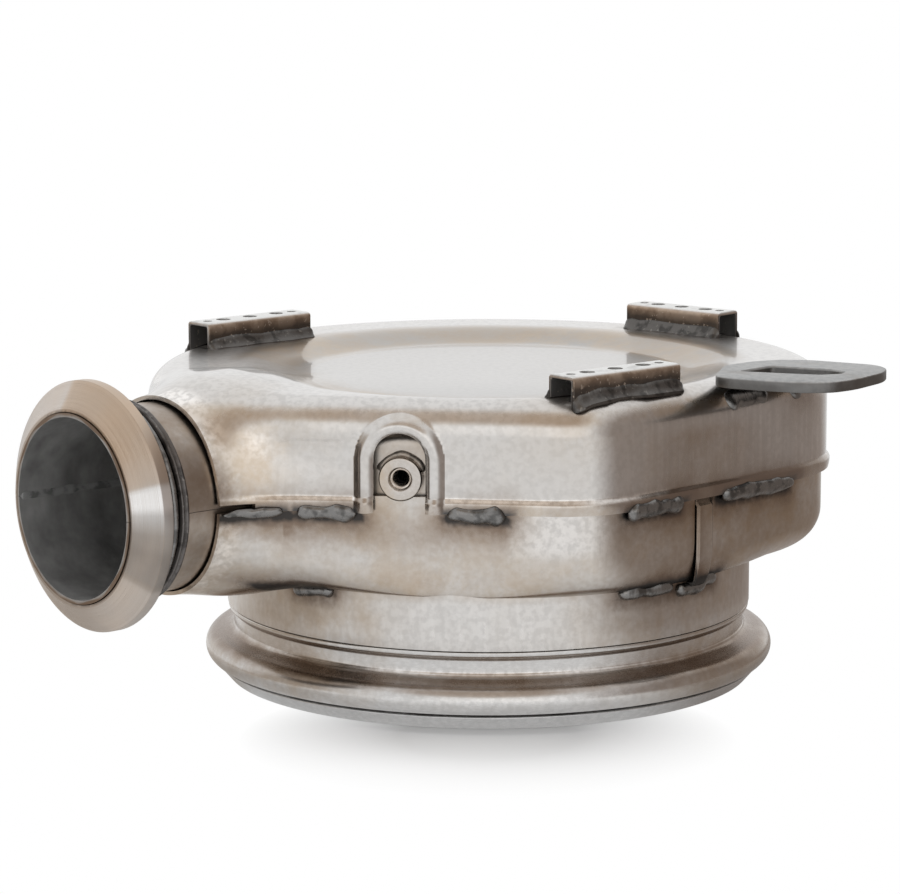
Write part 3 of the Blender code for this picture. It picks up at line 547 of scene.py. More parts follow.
def inner_field(x, y, z, inset=0.0):
    """Inner skins: set in from the housing, running out into the inlet pipe."""
    wide = plan(x, y) + INNER_IN
    wall = wide + inset
    up = rounded(wall, z - Z_IN_TOP + inset, INNER_ROUND)
    low = floored(wall, Z_IN_FLOOR + inset - z, np.hypot(x, y) - wide - MANTLE_R, 0.0042,
                  INNER_FLOOR_ROUND, inset)
    body = np.where(z > Z_PART, up, low)
    tube = neck(x, y, z, PIPE_R - inset, DISC_R - 0.012, PIPE_END + OVERRUN, 0.5)
    return soft_min(body, tube, INNER_BLEND)


def first_wall(field, ox, oy, oz, dx, dy, dz):
    """Distance along each ray to the wall, by halving."""
    near, far = np.zeros_like(dx), np.full_like(dx, RAY_REACH)
    for _ in range(30):
        mid = 0.5 * (near + far)
        inside = field(ox + dx * mid, oy + dy * mid, oz + dz * mid) < 0
        near, far = np.where(inside, mid, near), np.where(inside, far, mid)
    return 0.5 * (near + far)


def directions(step, neck_step, front_step=0.0, seams=()):
    """Ray azimuths: even steps, closer at the neck, on the front wall and at seams."""
    around = list(np.arange(-180, 180, step))
    around += list(NECK_AZ + np.arange(-NECK_SPREAD, NECK_SPREAD + 0.01, neck_step))
    if front_step:
        beside = RAY_C[0] * FRONT_U[0] + RAY_C[1] * FRONT_U[1]
        deep = FRONT_D - RAY_C[0] * FRONT_N[0] - RAY_C[1] * FRONT_N[1]
        facing = math.degrees(math.atan2(FRONT_N[1], FRONT_N[0]))
        for u in np.arange(-0.099, 0.004, front_step):
            around.append(facing + math.degrees(math.atan2(u - beside, deep)))
    for seam in seams:
        around += list(seam + np.arange(-SEAM_SPREAD, SEAM_SPREAD + 0.01, 0.25))
    kept = []
    for angle in sorted(wrap(a) for a in around):
        if not kept or angle - kept[-1] > LEAST_TURN:
            kept.append(angle)
    return np.radians(np.array(kept))


def ray_solid(name, field, az, levels, turn_z, way, rows, close_to=None):
    """Closed solid inside a field: rings at fixed heights, then along the curve to the pole."""
    cx, cy = RAY_C
    ca, sa = np.cos(az), np.sin(az)

    def shot(z, dx, dy, dz):
        """Points where rays from the upright line meet the wall."""
        r = first_wall(field, cx, cy, z, dx, dy, dz)
        return np.stack([cx + r * dx, cy + r * dy, z + r * dz], -1)

    rings = [shot(np.full_like(az, level), ca, sa, np.zeros_like(az)) for level in levels]
    el = np.radians(np.concatenate([np.linspace(0, 40, 240), np.linspace(40.5, 89.9, 80)]))
    grid_a, grid_e = np.meshgrid(az, el, indexing='ij')
    pts = shot(turn_z, np.cos(grid_e) * np.cos(grid_a), np.cos(grid_e) * np.sin(grid_a),
               way * np.sin(grid_e))
    step = np.diff(pts, axis=1)
    length = np.linalg.norm(step, axis=2)
    bend = np.linalg.norm(np.diff(step / length[:, :, None], axis=1), axis=2)
    if close_to:
        length = length * np.where(pts[:, 1:, 2] < close_to, 3.0, 1.0)
    weight = np.cumsum(length + BEND_WEIGHT * np.pad(bend, ((0, 0), (0, 1))), axis=1)
    weight = np.pad(weight, ((0, 0), (1, 0)))
    lift = np.array([np.interp(row[-1] * np.arange(1, rows) / rows, row, el) for row in weight])
    for _ in range(8):
        lift = (np.roll(lift, 1, 0) + 2 * lift + np.roll(lift, -1, 0)) / 4
    flat = np.cos(lift)
    rings += list(shot(turn_z, flat * ca[:, None], flat * sa[:, None],
                       way * np.sin(lift)).swapaxes(0, 1))
    bm = bmesh.new()
    verts = [[bm.verts.new(q) for q in ring] for ring in rings]
    tip = bm.verts.new(shot(turn_z, *np.array([[0.0], [0.0], [float(way)]]))[0])
    bm.faces.new(verts[0])
    skin_over(bm, verts)
    for i, corner in enumerate(verts[-1]):
        bm.faces.new((corner, verts[-1][(i + 1) % len(az)], tip))
    return made_piece(name, bm)


def lofted(rings):
    """Closed shape over equal rings, ends capped."""
    bm = bmesh.new()
    rows = [[bm.verts.new(q) for q in ring] for ring in rings]
    skin_over(bm, rows)
    bm.faces.new(rows[0])
    bm.faces.new(rows[-1])
    return made_piece("cutter", bm)


def prism(outline, direction):
    """Cutting shape from a flat outline and its copy moved along a direction."""
    return lofted([[Vector(q) for q in outline],
                   [Vector(q) + Vector(direction) for q in outline]])


def neck_box(t0, t1, half, z0, z1):
    """Cutting box lined up with the neck."""
    return prism([neck_point(t, n, z0) for t, n in (
        (t0, -half), (t1, -half), (t1, half), (t0, half))], (0, 0, z1 - z0))


def past(t):
    """Cutting box for all that lies past a distance along the neck."""
    return neck_box(t, t + 0.2, 0.12, Z_PART - 0.12, Z_PART + 0.12)


def drum(radius, low, high, segs=96, place=None):
    """Cutting cylinder."""
    rings = []
    for height in (low, high):
        ring = [Vector((radius * math.cos(2 * math.pi * i / segs),
                        radius * math.sin(2 * math.pi * i / segs), height))
                for i in range(segs)]
        rings.append([place @ q for q in ring] if place else ring)
    return lofted(rings)


def carve(obj, *cutters):
    """Cuts the shapes out of a piece. They are thrown away, apart from one marked keep."""
    for cutter in cutters:
        cut = obj.modifiers.new("cut", 'BOOLEAN')
        cut.operation = 'DIFFERENCE'
        cut.solver = 'MANIFOLD'
        cut.object = cutter
    graph = bpy.context.evaluated_depsgraph_get()
    mesh = bpy.data.meshes.new_from_object(obj.evaluated_get(graph))
    obj.modifiers.clear()
    obj.data = mesh
    for cutter in cutters:
        if not cutter.get("keep"):
            bpy.data.objects.remove(cutter)


def front_place(u, z, depth):
    """Place on the front wall, with Z pointing out and Y up."""
    out = Vector((*FRONT_N, 0))
    across = Vector((*FRONT_U, 0))
    place = Matrix((across, out.cross(across), out)).transposed().to_4x4()
    place.translation = across * u + out * depth + Vector((0, 0, z))
    return place


ARCH_U = -0.0273
BOSS_UP = 0.0154
BOSS_BORE = 0.0050
boss_place = front_place(ARCH_U, Z_PART + BOSS_UP, FRONT_D - INNER_IN)
gas_side = stainless("inner_skin_stainless", 0.30, (1, 1, 1), 0.5, (0.56, 0.53, 0.50))
soot = gas_side.paint("soot")
gas_side.feed("Metallic", 1 - soot * 0.55)
deposit = gas_side.grain(26, 4, rough=0.6).rise(0.36, 0.30)
streaks = gas_side.grain(160, 3, (1, 1, 0.25))
grey = gas_side.mix((0.105, 0.105, 0.106), (0.52, 0.52, 0.515),
                    (deposit * 0.6 + streaks * 0.5).limit())
gas_side.feed("Base Color", gas_side.mix(gas_side.tone, grey, soot * 0.85))
inner_az = directions(1.6, 0.6)
for half, way in (("upper", 1), ("lower", -1)):
    level = Z_PART + way * GAP / 2
    skin = ray_solid("inner_skin_pressed_" + half, inner_field, inner_az, [level], level, way, 60)
    void = ray_solid("void", lambda x, y, z: inner_field(x, y, z, SKIN), inner_az,
                     [level - way * 0.003, level], level, way, 60)
    opening = (drum(BOSS_BORE, -0.02, 0.02, 48, boss_place) if half == "upper" else
               drum(MANTLE_R + GAP, Z_IN_FLOOR - 0.02, Z_IN_FLOOR + 0.010))
    carve(skin, void, past(PIPE_END), opening)
    p = points_of(skin)
    within = inner_field(*p) < -SKIN * 0.5
    t = neck_ways(p[0], p[1])[0]
    store(skin, tint=np.where(within, 0.0, 0.5), burn=0.22 * within, soot=1.0 * within,
          brown=np.where(within, 0.05, 0.12 + 0.33 * ramp((t - 0.18) / 0.02)
                         + 0.35 * (t > PIPE_END - 0.0004)))
    settle(skin, gas_side, "inner_%s_steel" % half, "inner_skin_" + half)


# Sensor boss: a small machined stainless ring welded to the inner skin, which takes a
# temperature sensor. It sits at the bottom of the arch in the cover.

BOSS_R = 0.0115
BOSS_FACE = 0.0066
BOSS_HOLE = 0.00305
boss_profile = [(0.0047, GAP), (BOSS_R, GAP), (BOSS_R, BOSS_FACE - 0.0006),
                (BOSS_R - 0.0006, BOSS_FACE), (0.0066, BOSS_FACE), (0.0062, BOSS_FACE - 0.0004),
                (0.0054, BOSS_FACE - 0.0026), (0.0050, BOSS_FACE - 0.0028),
                (0.0046, BOSS_FACE - 0.0032), (0.0031, BOSS_FACE - 0.0064),
                (0.0030, BOSS_FACE - 0.0070), (0.0029, -0.0056), (0.0045, -0.0056),
                (0.0047, -0.0050)]
machined = stainless("boss_stainless", 0.24, (1, 1, 1), 0.4, (0.60, 0.575, 0.555), wave=0.2)
boss = made_piece("sensor_boss_turned", turned(softened(boss_profile, 0.0002, 2), 96, boss_place),
                  machined, "boss_steel", "sensor_boss")
from_middle = points_of(boss).T - np.array(boss_place.translation)
across, up = (from_middle @ np.array(boss_place.col[k][:3]) for k in (0, 1))
rim = np.hypot(across, up)
# The cone inside the face gets a painted highlight, and the hole's inside is darker.
store(boss, tint=0.30 + 0.5 * ramp((rim - 0.0105) / 0.001) + 0.2 * (across < -0.004),
      brown=0.45 * ramp((rim - 0.0109) / 0.0005) + 0.4 * (rim < BOSS_HOLE),
      burn=0.3 * (rim < BOSS_HOLE), bright=0.8 * (rim < 0.0059) * (rim > BOSS_HOLE))


# Lower shells: two pressed stainless halves under the cover, tucked behind its lip and
# rounded down to the can. They lap behind the right front corner and at the back.

MOUTH_R = 0.0536
MOUTH_T = 0.2058
Z_LIP = 0.1168
Z_CREASE = 0.1252
LOWER_IN = 0.0026
FLOOR_ROUND = 0.0230
NECK_IN = 0.040
NECK_BLEND = 0.0300
SEAM_BEHIND = 0.0141
LAP_TURN = 1.4
LAP_LIFT = SHEET + 0.0008
neck_side = NECK_AZ + math.degrees(math.asin((MOUTH_R - PIPE_SIDE + GAP) / DISC_R))
SEAM_WELDS = ((neck_side, neck_side + 5.5), (neck_side + 7.3, neck_side + 17.0),
              (-98.1, -86.7), (-63.2, -48.3), (-36.6, -17.5), (32, 48), (76, 92), (150, 166))


def seam_azimuths():
    """Where the wall crosses the seam's plane, seen from the ray centre, in degrees."""
    turns = np.radians(np.arange(-180, 180, 0.05))
    reach = np.linspace(0.02, 0.4, 1200)
    x = RAY_C[0] + np.outer(np.cos(turns), reach)
    y = RAY_C[1] + np.outer(np.sin(turns), reach)
    first = np.argmax(plan(x, y) > 0, axis=1)
    every = np.arange(len(turns))
    t = neck_ways(x[every, first], y[every, first])[0] + SEAM_BEHIND
    return sorted(math.degrees(turns[i]) for i in every if t[i] * t[i - 1] < 0)


SEAM_AZ = seam_azimuths()


def lap_gap(x, y):
    """Angle from the nearer lap of the two shells, seen from the ray centre."""
    turn = azimuth((x, y), RAY_C)
    return np.min([np.abs(wrap(turn - seam)) for seam in SEAM_AZ], axis=0)


def with_neck(body, x, y, z, inset):
    """A shell's body blended into the outer skin of the inlet neck."""
    tube = neck(x, y, z, MOUTH_R - inset, DISC_R - NECK_IN, MOUTH_T + OVERRUN)
    return soft_min(body, tube, NECK_BLEND)


def lower_field(x, y, z, inset=0.0, swell=0.0):
    """Lower shells: wall set in under the cover's lip, rounded to a floor."""
    lift = swell * (1 - ramp((lap_gap(x, y) - 2.4) / 1.6)) * ramp((Z_LIP - 0.001 - z) / 0.004)
    wide = plan(x, y)
    body = floored(wide + LOWER_IN + inset - lift, Z_FLOOR + inset - lift - z,
                   np.hypot(x, y) - wide - LOWER_IN - CAN_R, 0.0032, FLOOR_ROUND, inset)
    return with_neck(body, x, y, z, inset)


def wedge(a0, a1, z0, z1):
    """Cutting wedge from the ray centre, between two azimuths in degrees."""
    turns = np.radians(np.linspace(a0, a1, 9))
    return prism([(*RAY_C, z0)] + [(RAY_C[0] + 0.5 * math.cos(a), RAY_C[1] + 0.5 * math.sin(a),
                                    z0) for a in turns], (0, 0, z1 - z0))


def mouth_end(p):
    """1 on the last stretch of the outer neck, on the side that carries a painted highlight."""
    t, n = neck_ways(p[0], p[1])
    return ramp((t - 0.192) / 0.006) * (n > 0)


lower_az = directions(1.1, 0.8, 0.0, SEAM_AZ)
lower_finish = stainless("lower_stainless", 0.22, (1, 1, 0.06), 0.3, (0.60, 0.58, 0.56))
for half, swell in (("front", 0.0), ("rear", LAP_LIFT)):
    name = "outer_lower_" + half
    shell = ray_solid(name + "_pressed", lambda x, y, z: lower_field(x, y, z, 0.0, swell),
                      lower_az, [Z_CREASE - GAP, Z_LIP, Z_LIP - 0.003], Z_LIP - 0.004, -1, 64)
    void = ray_solid("void", lambda x, y, z: lower_field(x, y, z, SHEET, swell),
                     lower_az, [Z_CREASE + 0.003, Z_LIP, Z_LIP - 0.003], Z_LIP - 0.004, -1, 64)
    cuts = [void, drum(CAN_R + GAP, Z_FLOOR - 0.03, Z_FLOOR + 0.0075, ROUND)]
    if half == "rear":
        cuts.append(wedge(SEAM_AZ[1], SEAM_AZ[0] + 360, 0, 0.3))
    else:
        cuts += [wedge(SEAM_AZ[0] + LAP_TURN, SEAM_AZ[1] - LAP_TURN, 0, 0.3),
                 wedge(SEAM_AZ[0] - 0.15, SEAM_AZ[1] + 0.15, Z_LIP - 0.0058, 0.29),
                 past(MOUTH_T),
                 neck_box(DISC_R - 0.101, MOUTH_T + 0.1, MOUTH_R + NECK_BLEND, Z_LIP - GAP,
                          Z_PART + 0.05),
                 drum(BOSS_R + GAP, -0.001, 0.02, 64, boss_place)]
    carve(shell, *cuts)
    p = points_of(shell)
    turn = azimuth(p)
    u = front_ways(p[0], p[1])[0]
    seam = weld_gap(p, SEAM_WELDS, Z_LIP - 0.003)
    foot = weld_gap(p, CAN_WELDS, Z_FLOOR)
    # Painted light on the shells: a painted highlight patch on the front, painted shade in a band
    # under the lip on the front, and browning on the right, partly heat tint and partly painted
    # shade. They are also darker and browner towards the bottom.
    low_part = ramp((0.092 - p[2]) / 0.016)
    shaded = halo(p[2] - 0.1050, 0.010) * (u < 0.030) * (u > -0.09)
    light = np.exp(-(((u - 0.052) / 0.030) ** 4)) * ramp((p[2] - 0.090) / 0.008)
    right = ramp((turn + 62) / 10) * ramp((60 - turn) / 40)
    neck_root = halo(neck_ways(p[0], p[1])[0] - 0.178, 0.012) * (p[2] > 0.10)
    store(shell, burn=halo(seam, 0.0030) + halo(foot, 0.0036) * 0.9,
          brown=halo(seam, 0.010) * 0.7 + 0.2 * neck_root + halo(foot, 0.008) * 0.6
          + 0.10 * low_part + 0.22 * halo(lap_gap(p[0], p[1]), 1.2) + 0.16 * right
          + 0.24 * shaded,
          tint=0.34 * (1 - light) + 0.15 * low_part + halo(seam, 0.016) * 0.4 + 0.20 * right,
          bright=0.35 * light + 0.8 * mouth_end(p))
    settle(shell, lower_finish, "lower_%s_steel" % half, name)


# Outer cover: one deep pressing of stainless sheet with a dished top, a rib around the
# arch that gives room for a sensor, and a joggled lip that laps over the lower shells.

Z_TOP = 0.1760
TOP_FILLET = 0.0187
DISH_R = 0.1055
DISH_SLOPE = 0.0345
DISH_DEPTH = 0.0060
LIP_OUT = 0.0012
LIP_ROUND = 0.0007
ARCH_UP = 0.0263
ARCH_R = 0.0139
RIB_W = 0.0091
RIB_H = 0.0038
SLIT_H = 0.0042
SLIT_L = 0.0180
POCKET_U = (-0.0935, -0.0525)
POCKET_Z = (0.1290, 0.1562)
POCKET_D = 0.0013


def rib(x, y, z):
    """Raised rib around the arch, 1 on its crest."""
    u, out = front_ways(x, y)
    up = np.maximum(z - Z_PART - ARCH_UP, 0)
    d = np.abs(np.hypot(u - ARCH_U, up) - ARCH_R - RIB_W / 2)
    crest = (1 - np.clip(d / (RIB_W * 0.62), 0, 1) ** 2) ** 1.25
    return crest * (out > 0)


def pocket(x, y, z):
    """Flat recess pressed in the front wall beside the arch, 1 on its floor."""
    u, out = front_ways(x, y)
    wide = ramp((u - POCKET_U[0]) / 0.0060) * ramp((POCKET_U[1] - u) / 0.0080)
    tall = ramp((z - POCKET_Z[0]) / 0.0200) * ramp((POCKET_Z[1] - z) / 0.0036)
    return wide * tall * (out > 0)


def cover_field(x, y, z, inset=0.0):
    """Pressed cover: wall with rib and lip, rounded top with a dish, inlet neck."""
    down = np.clip((Z_CREASE - z) / (Z_CREASE - Z_LIP), 0, 1)
    lip = LIP_OUT * ramp(down * 2.6) + LIP_ROUND * np.sin(math.pi * down)
    wall = plan(x, y) - RIB_H * rib(x, y, z) + POCKET_D * pocket(x, y, z) - lip + inset
    slope = (DISH_R + DISH_SLOPE - np.hypot(x, y)) / DISH_SLOPE
    top = z - Z_TOP + DISH_DEPTH * ramp(slope) + inset
    return with_neck(rounded(wall, top, TOP_FILLET - inset), x, y, z, inset)


cover_az = directions(1.4, 0.8, 0.0011)
levels = [Z_LIP, Z_LIP + 0.0004, Z_LIP + 0.002, Z_LIP + 0.004] + list(
    np.arange(Z_CREASE - 0.0032, Z_CREASE + 0.0021, 0.0004))
cover = ray_solid("outer_cover_pressed", cover_field, cover_az, levels, levels[-1] + 0.0003, 1,
                  140, close_to=0.160)
void = ray_solid("void", lambda x, y, z: cover_field(x, y, z, SHEET), cover_az,
                 [Z_LIP - 0.003] + levels[1::4], levels[-1] + 0.0003, 1, 44)
arch = [(-ARCH_R, -0.02, 0), (ARCH_R, -0.02, 0)]
arch += [(ARCH_R * math.cos(a), ARCH_UP + ARCH_R * math.sin(a), 0)
         for a in np.linspace(0, math.pi, 49)]
arch_place = front_place(ARCH_U, Z_PART, FRONT_D - 0.02)
carve(cover, void, past(MOUTH_T),
      neck_box(MOUTH_T - SLIT_L, MOUTH_T + 0.01, MOUTH_R + 0.02, Z_LIP - 0.01,
               Z_PART + SLIT_H / 2),
      prism([arch_place @ Vector(q) for q in arch], Vector((*FRONT_N, 0)) * 0.05))
cover_finish = stainless("cover_stainless", 0.22, (1, 1, 0.03), 0.8, CLEAN, smooth_top=1.0,
                         wave=0.35, drawn="drawn", coat=1.0)

# The welds of the brackets and the lug plate stain the cover, so their places come here.
BRACKET_L = 0.0760
BRACKET_W = 0.0200
BRACKETS = (("left", (-0.8393 * DISC_R, 0.2372 * DISC_R), 42.7, 1.0, 0.0),
            ("front", (0.2925 * FRONT_D, -0.9850 * FRONT_D), 40.6, 1.01, 0.0015),
            ("rear", (0.4340 * DISC_R, 0.7068 * DISC_R), -40.1, 0.89, 0.0))
LUG_ARCS = ((-36.5, -25.0), (-17.0, -13.4))


def bracket_gap(p, corner, angle, share):
    """Distance of points, seen from above, from the edge of a bracket's foot."""
    along = np.array([math.cos(math.radians(angle)), math.sin(math.radians(angle))])
    off = p[:2].T - np.array(corner)
    s, t = off @ along, off @ np.array([-along[1], along[0]])
    end = BRACKET_L * share
    beside = np.hypot(np.maximum(np.maximum(-s, s - end), 0),
                      np.maximum(np.maximum(-t, t - BRACKET_W), 0))
    inside = np.minimum(np.minimum(t, BRACKET_W - t), np.minimum(s, end - s))
    return beside + np.maximum(inside, 0)


p = points_of(cover)
turn, across_can = azimuth(p), np.hypot(p[0], p[1])
u, out = front_ways(p[0], p[1])
t = neck_ways(p[0], p[1])[0]
within = cover_field(*p) <= -SHEET * 0.5
seam = weld_gap(p, SEAM_WELDS, Z_LIP)
lug_foot = weld_gap(p, LUG_ARCS, Z_TOP - 0.008, DISC_R - 0.006)
feet = np.min([bracket_gap(p, *bracket[1:4]) for bracket in BRACKETS], axis=0)
feet = np.hypot(feet, np.maximum(Z_TOP - 0.012 - p[2], 0))
top_flat = ramp((p[2] - 0.160) / 0.012)
side_wall = 1 - top_flat
# The dish is greyed, more towards the front, and the back of its slope is greyed, browned and
# tinted: painted shade.
dish = ramp((0.118 - across_can) / 0.010) * top_flat
back_slope = (ramp((across_can - 0.105) / 0.008) * ramp((0.150 - across_can) / 0.012)
              * ramp((p[1] + 0.02) / 0.06) * top_flat)
front_slope = (ramp((across_can - 0.085) / 0.02) * ramp((0.134 - across_can) / 0.003)
               * ramp((0.02 - p[1]) / 0.06) * top_flat)
# A tan band under the top's rounding, stronger on the right, is a painted reflection.
band = np.exp(-((Z_TOP - p[2] - 0.0084) / 0.0036) ** 4) * (across_can > 0.10)
facing_front = ramp((out - 0.10) / 0.03)
left_front = ramp((-0.085 - u) / 0.02) * facing_front
# The right side and the chamfer are tinted and browned, partly heat tint and partly painted shade.
right_side = ramp((turn + 58) / 8) * ramp((40 - turn) / 30)
on_chamfer = np.exp(-((turn + 42) / 15) ** 4) * ramp((0.160 - p[2]) / 0.01)
on_neck = ramp((t - 0.150) / 0.03)
lip_band = ramp((Z_CREASE + 0.0005 - p[2]) / 0.002)
# Painted highlights: along the crease over the lip, in a spot where the neck meets the front wall,
# at the mouth's end and round the rim of the dish.
crease_highlight = (np.exp(-((p[2] - Z_CREASE + 0.0013) / 0.0014) ** 2) * (turn < -50)
          * ramp(1 - rib(*p) * 7) * (facing_front > 0.3))
neck_highlight = (np.exp(-(((u + 0.105) / 0.008) ** 2 + ((p[2] - 0.151) / 0.008) ** 2))
        * (facing_front > 0.3))
store(cover, grey=dish * (0.22 + 0.40 * ramp((-p[1] - 0.02) / 0.09)) + 0.85 * back_slope,
      drawn=0.14 + 0.86 * ramp((turn + 64) / 6) * (turn < 20)
      + 0.6 * np.exp(-((u + 0.088) / 0.007) ** 2) * facing_front,
      burn=halo(seam, 0.0026) * 0.9 + halo(feet, 0.0018) * 0.9 + halo(lug_foot, 0.0044) * 0.9
      + 0.4 * within,
      brown=halo(seam, 0.009) * 0.7 * (1 - crease_highlight) + halo(feet, 0.005) * 0.3
      + halo(lug_foot, 0.012) * 0.7 + 0.10 * right_side * side_wall + 0.16 * front_slope
      + 0.14 * back_slope + 0.16 * on_chamfer + 0.25 * lip_band * (p[0] > 0.03) + 0.2 * within,
      tint=(0.34 + 0.30 * right_side) * band + 0.11 * facing_front * side_wall
      + 0.30 * on_chamfer + 0.3 * on_neck * ramp((0.172 - p[2]) / 0.02)
      + halo(feet, 0.020) * 0.2 + 0.2 * ramp((turn + 25) / 20) * side_wall
      + 0.14 * left_front * (1 - neck_highlight) + 0.75 * back_slope + 0.36 * front_slope
      + 0.45 * lip_band * (1 - crease_highlight),
      bright=0.16 * ramp((across_can - 0.134) / 0.004) * top_flat * (1 - back_slope)
      + 0.9 * neck_highlight + 0.8 * mouth_end(p) + 1.0 * crease_highlight)
settle(cover, cover_finish, "cover_steel", "outer_cover")


# Inlet flange: a turned steel cone with a sharp rim, pushed over the pipe's end and
# welded behind. The next pipe's flange is clamped against its front face.

RIM_R = PIPE_R + 0.0162
RIM_AT = 0.0105
RIM_W = 0.0061
HUB_END = 0.0240
COLLAR_END = 0.0380
bore = PIPE_R + GAP
back_along = Vector((-AXIS[0], -AXIS[1], 0))
upright = Vector((0, 0, 1))
end_place = Matrix((upright, back_along.cross(upright), back_along)).transposed().to_4x4()
end_place.translation = neck_point(PIPE_END, 0, Z_PART)
flange_profile = [
    (bore, 0.0006), (bore + 0.0018, 0.0006), (bore + 0.0080, 0.0052),
    (RIM_R - 0.0008, RIM_AT - 0.0006), (RIM_R, RIM_AT), (RIM_R, RIM_AT + RIM_W),
    (RIM_R - 0.0006, RIM_AT + RIM_W + 0.0005), (bore + 0.0058, HUB_END - 0.0030),
    (bore + 0.0042, HUB_END), (bore, HUB_END)]
flange_steel = Finish("flange_turned_steel", (0.60, 0.585, 0.565), 0.24)
reach = flange_steel.paint("reach")
cuts = flange_steel.add("ShaderNodeTexNoise", {"noise_dimensions": '1D'},
                        {"W": reach * 90, "Scale": 1.0, "Detail": 3.0}, out="Fac")
cloud = flange_steel.grain(60, 4)
patch = flange_steel.grain(24, 3)
# Painted reflections: light and dark bands, then warm ones, laid by the angle round the pipe.
tone = flange_steel.mix((0.17, 0.145, 0.125), (0.88, 0.875, 0.87),
                        (flange_steel.paint("shine") + (patch - 0.5) * 0.3).limit())
tone = flange_steel.mix(tone, (0.56, 0.42, 0.30),
                        (flange_steel.paint("warm") + (patch - 0.5) * 0.8).limit())
tone = flange_steel.mix(tone, (0.33, 0.26, 0.20), cuts.rise(0.5, 0.25) * 0.4)
# The back of the flange and its bore edge are darker.
flange_steel.feed("Base Color", flange_steel.mix(tone, (0.13, 0.115, 0.105),
                                                 flange_steel.paint("grime")))
flange_steel.feed("Roughness", 0.18 + cuts * 0.18 + cloud * 0.10)
flange_steel.bump(cuts, 0.00012)
flange = made_piece("inlet_flange_turned", turned(softened(flange_profile, 0.0004, 3), 192,
                                                  end_place), flange_steel, "flange_steel",
                    "inlet_flange")
p = points_of(flange)
t, n = neck_ways(p[0], p[1])
off_axis = np.hypot(n, p[2] - Z_PART)
swing = np.degrees(np.arctan2(p[2] - Z_PART, n))
# By the angle round the pipe, the turned faces get painted reflection bands: light, dark and warm.
shine = np.interp(swing, [-180, -120, -60, -36, -33, -16, -6, 4, 8, 16, 19, 60, 96, 100, 125, 180],
                  [0.45, 0.42, 0.40, 0.40, 0.12, 0.08, 0.16, 0.55, 1.0, 0.95, 0.42, 0.42, 0.42,
                   0.70, 0.60, 0.45])
warm = np.interp(swing, [-180, -60, -36, -30, 16, 19, 60, 98, 101, 180],
                 [0.35, 0.25, 0.25, 0.0, 0.0, 0.55, 0.75, 0.75, 0.35, 0.35])
store(flange, reach=(off_axis - PIPE_R) / 0.018, shine=shine, warm=warm,
      grime=0.75 * ramp((PIPE_END - t - 0.0172) / 0.003) + 0.5 * (off_axis < bore + 0.0004))


# Flange weld and collar: a dark turned bead of weld behind the flange, and a ridged
# band burnt black by its heat.

def weld_metal(name, colour=(0.22, 0.215, 0.21), rough=0.30, metal=1.0):
    """Weld bead: smooth dull grey metal with dark oxide and bright flecks."""
    made = Finish(name, colour, rough, metal)
    scale = made.grain(420, 3)
    blot = made.grain(150, 3)
    tone = made.mix(colour, tuple(c * 0.4 for c in colour), blot.rise(0.50, 0.12) * 0.8)
    tone = made.mix(tone, (0.42, 0.40, 0.37), scale.rise(0.62, 0.10) * 0.4)
    made.feed("Base Color", tone)
    made.feed("Roughness", rough + (scale - 0.5) * 0.3)
    made.bump(scale * 0.6 + blot, 0.00018)
    return made


weld_finish = weld_metal("weld_bead_metal")
lumps = np.random.default_rng(11).uniform(-1, 1, (2, 97))
lumps[:, 96] = lumps[:, 0]


def lumpy_ring(profile, size, kind, amount):
    """Ring behind the pipe's end, with smooth seeded unevenness outside its bore."""
    def wobble(turn, radius):
        at = (turn / (2 * math.pi)) % 1.0 * 96
        return amount * float(np.interp(at, range(97), lumps[kind])) * (radius > bore + 0.001)

    return turned(softened(profile, size, 3), 240, end_place, wobble)


ridge = HUB_END + GAP
weld_profile = [(bore, ridge), (bore + 0.0050, ridge), (bore + 0.0060, ridge + 0.0016),
                (bore + 0.0056, ridge + 0.0032), (bore + 0.0034, ridge + 0.0046),
                (bore + 0.0024, ridge + 0.0056), (bore, ridge + 0.0056)]
made_piece("flange_weld_bead", lumpy_ring(weld_profile, 0.0008, 0, 0.00018), weld_finish,
           "weld_metal", "flange_weld")
ridge += 0.0056 + GAP
collar_profile = [(bore, ridge), (bore + 0.0030, ridge + 0.0002), (bore + 0.0046, ridge + 0.0010),
                  (bore + 0.0046, ridge + 0.0022), (bore + 0.0026, ridge + 0.0032),
                  (bore + 0.0040, ridge + 0.0044), (bore + 0.0040, ridge + 0.0056),
                  (bore + 0.0018, COLLAR_END - 0.0008), (bore, COLLAR_END)]
collar_steel = weld_metal("collar_burnt_steel", (0.14, 0.13, 0.125), 0.36)
made_piece("pipe_collar_ridged", lumpy_ring(collar_profile, 0.0007, 1, 0.00012), collar_steel,
           "collar_steel", "pipe_collar")


# Brackets: three channels of steel sheet with holes for a heat shield, open below.
# Their legs are trimmed to the cover and welded to it on both sides.

BRACKET_H = 0.0145
BRACKET_T = 0.0020
LEG_H = BRACKET_H + 0.014
LEG_STRAIGHT = 0.012
BEND_OUT = 0.0034
BEND_IN = 0.0016
HOLES = ((0.087, 0.0026), (0.24, 0.0042), (0.5, 0.0042), (0.76, 0.0042), (0.913, 0.0026))
bracket_steel = Finish("bracket_stained_steel", (0.40, 0.33, 0.26), 0.36, 0.8)
high_up = bracket_steel.paint("lift")
drawn = bracket_steel.grain(600, 3, (1, 1, 0.2))
cloud = bracket_steel.grain(70, 4, rough=0.6)
fleck = bracket_steel.grain(420, 2)
side_tone = bracket_steel.mix((0.060, 0.052, 0.048), (0.125, 0.095, 0.072),
                              (high_up * 1.3 - 0.25 + (cloud - 0.5) * 2.0).limit())
copper = bracket_steel.mix((0.30, 0.215, 0.155), (0.46, 0.36, 0.28), cloud.rise(0.45, 0.15))
side_tone = bracket_steel.mix(side_tone, copper,
                              (high_up + (cloud - 0.5) * 0.35).rise(0.62, 0.3))
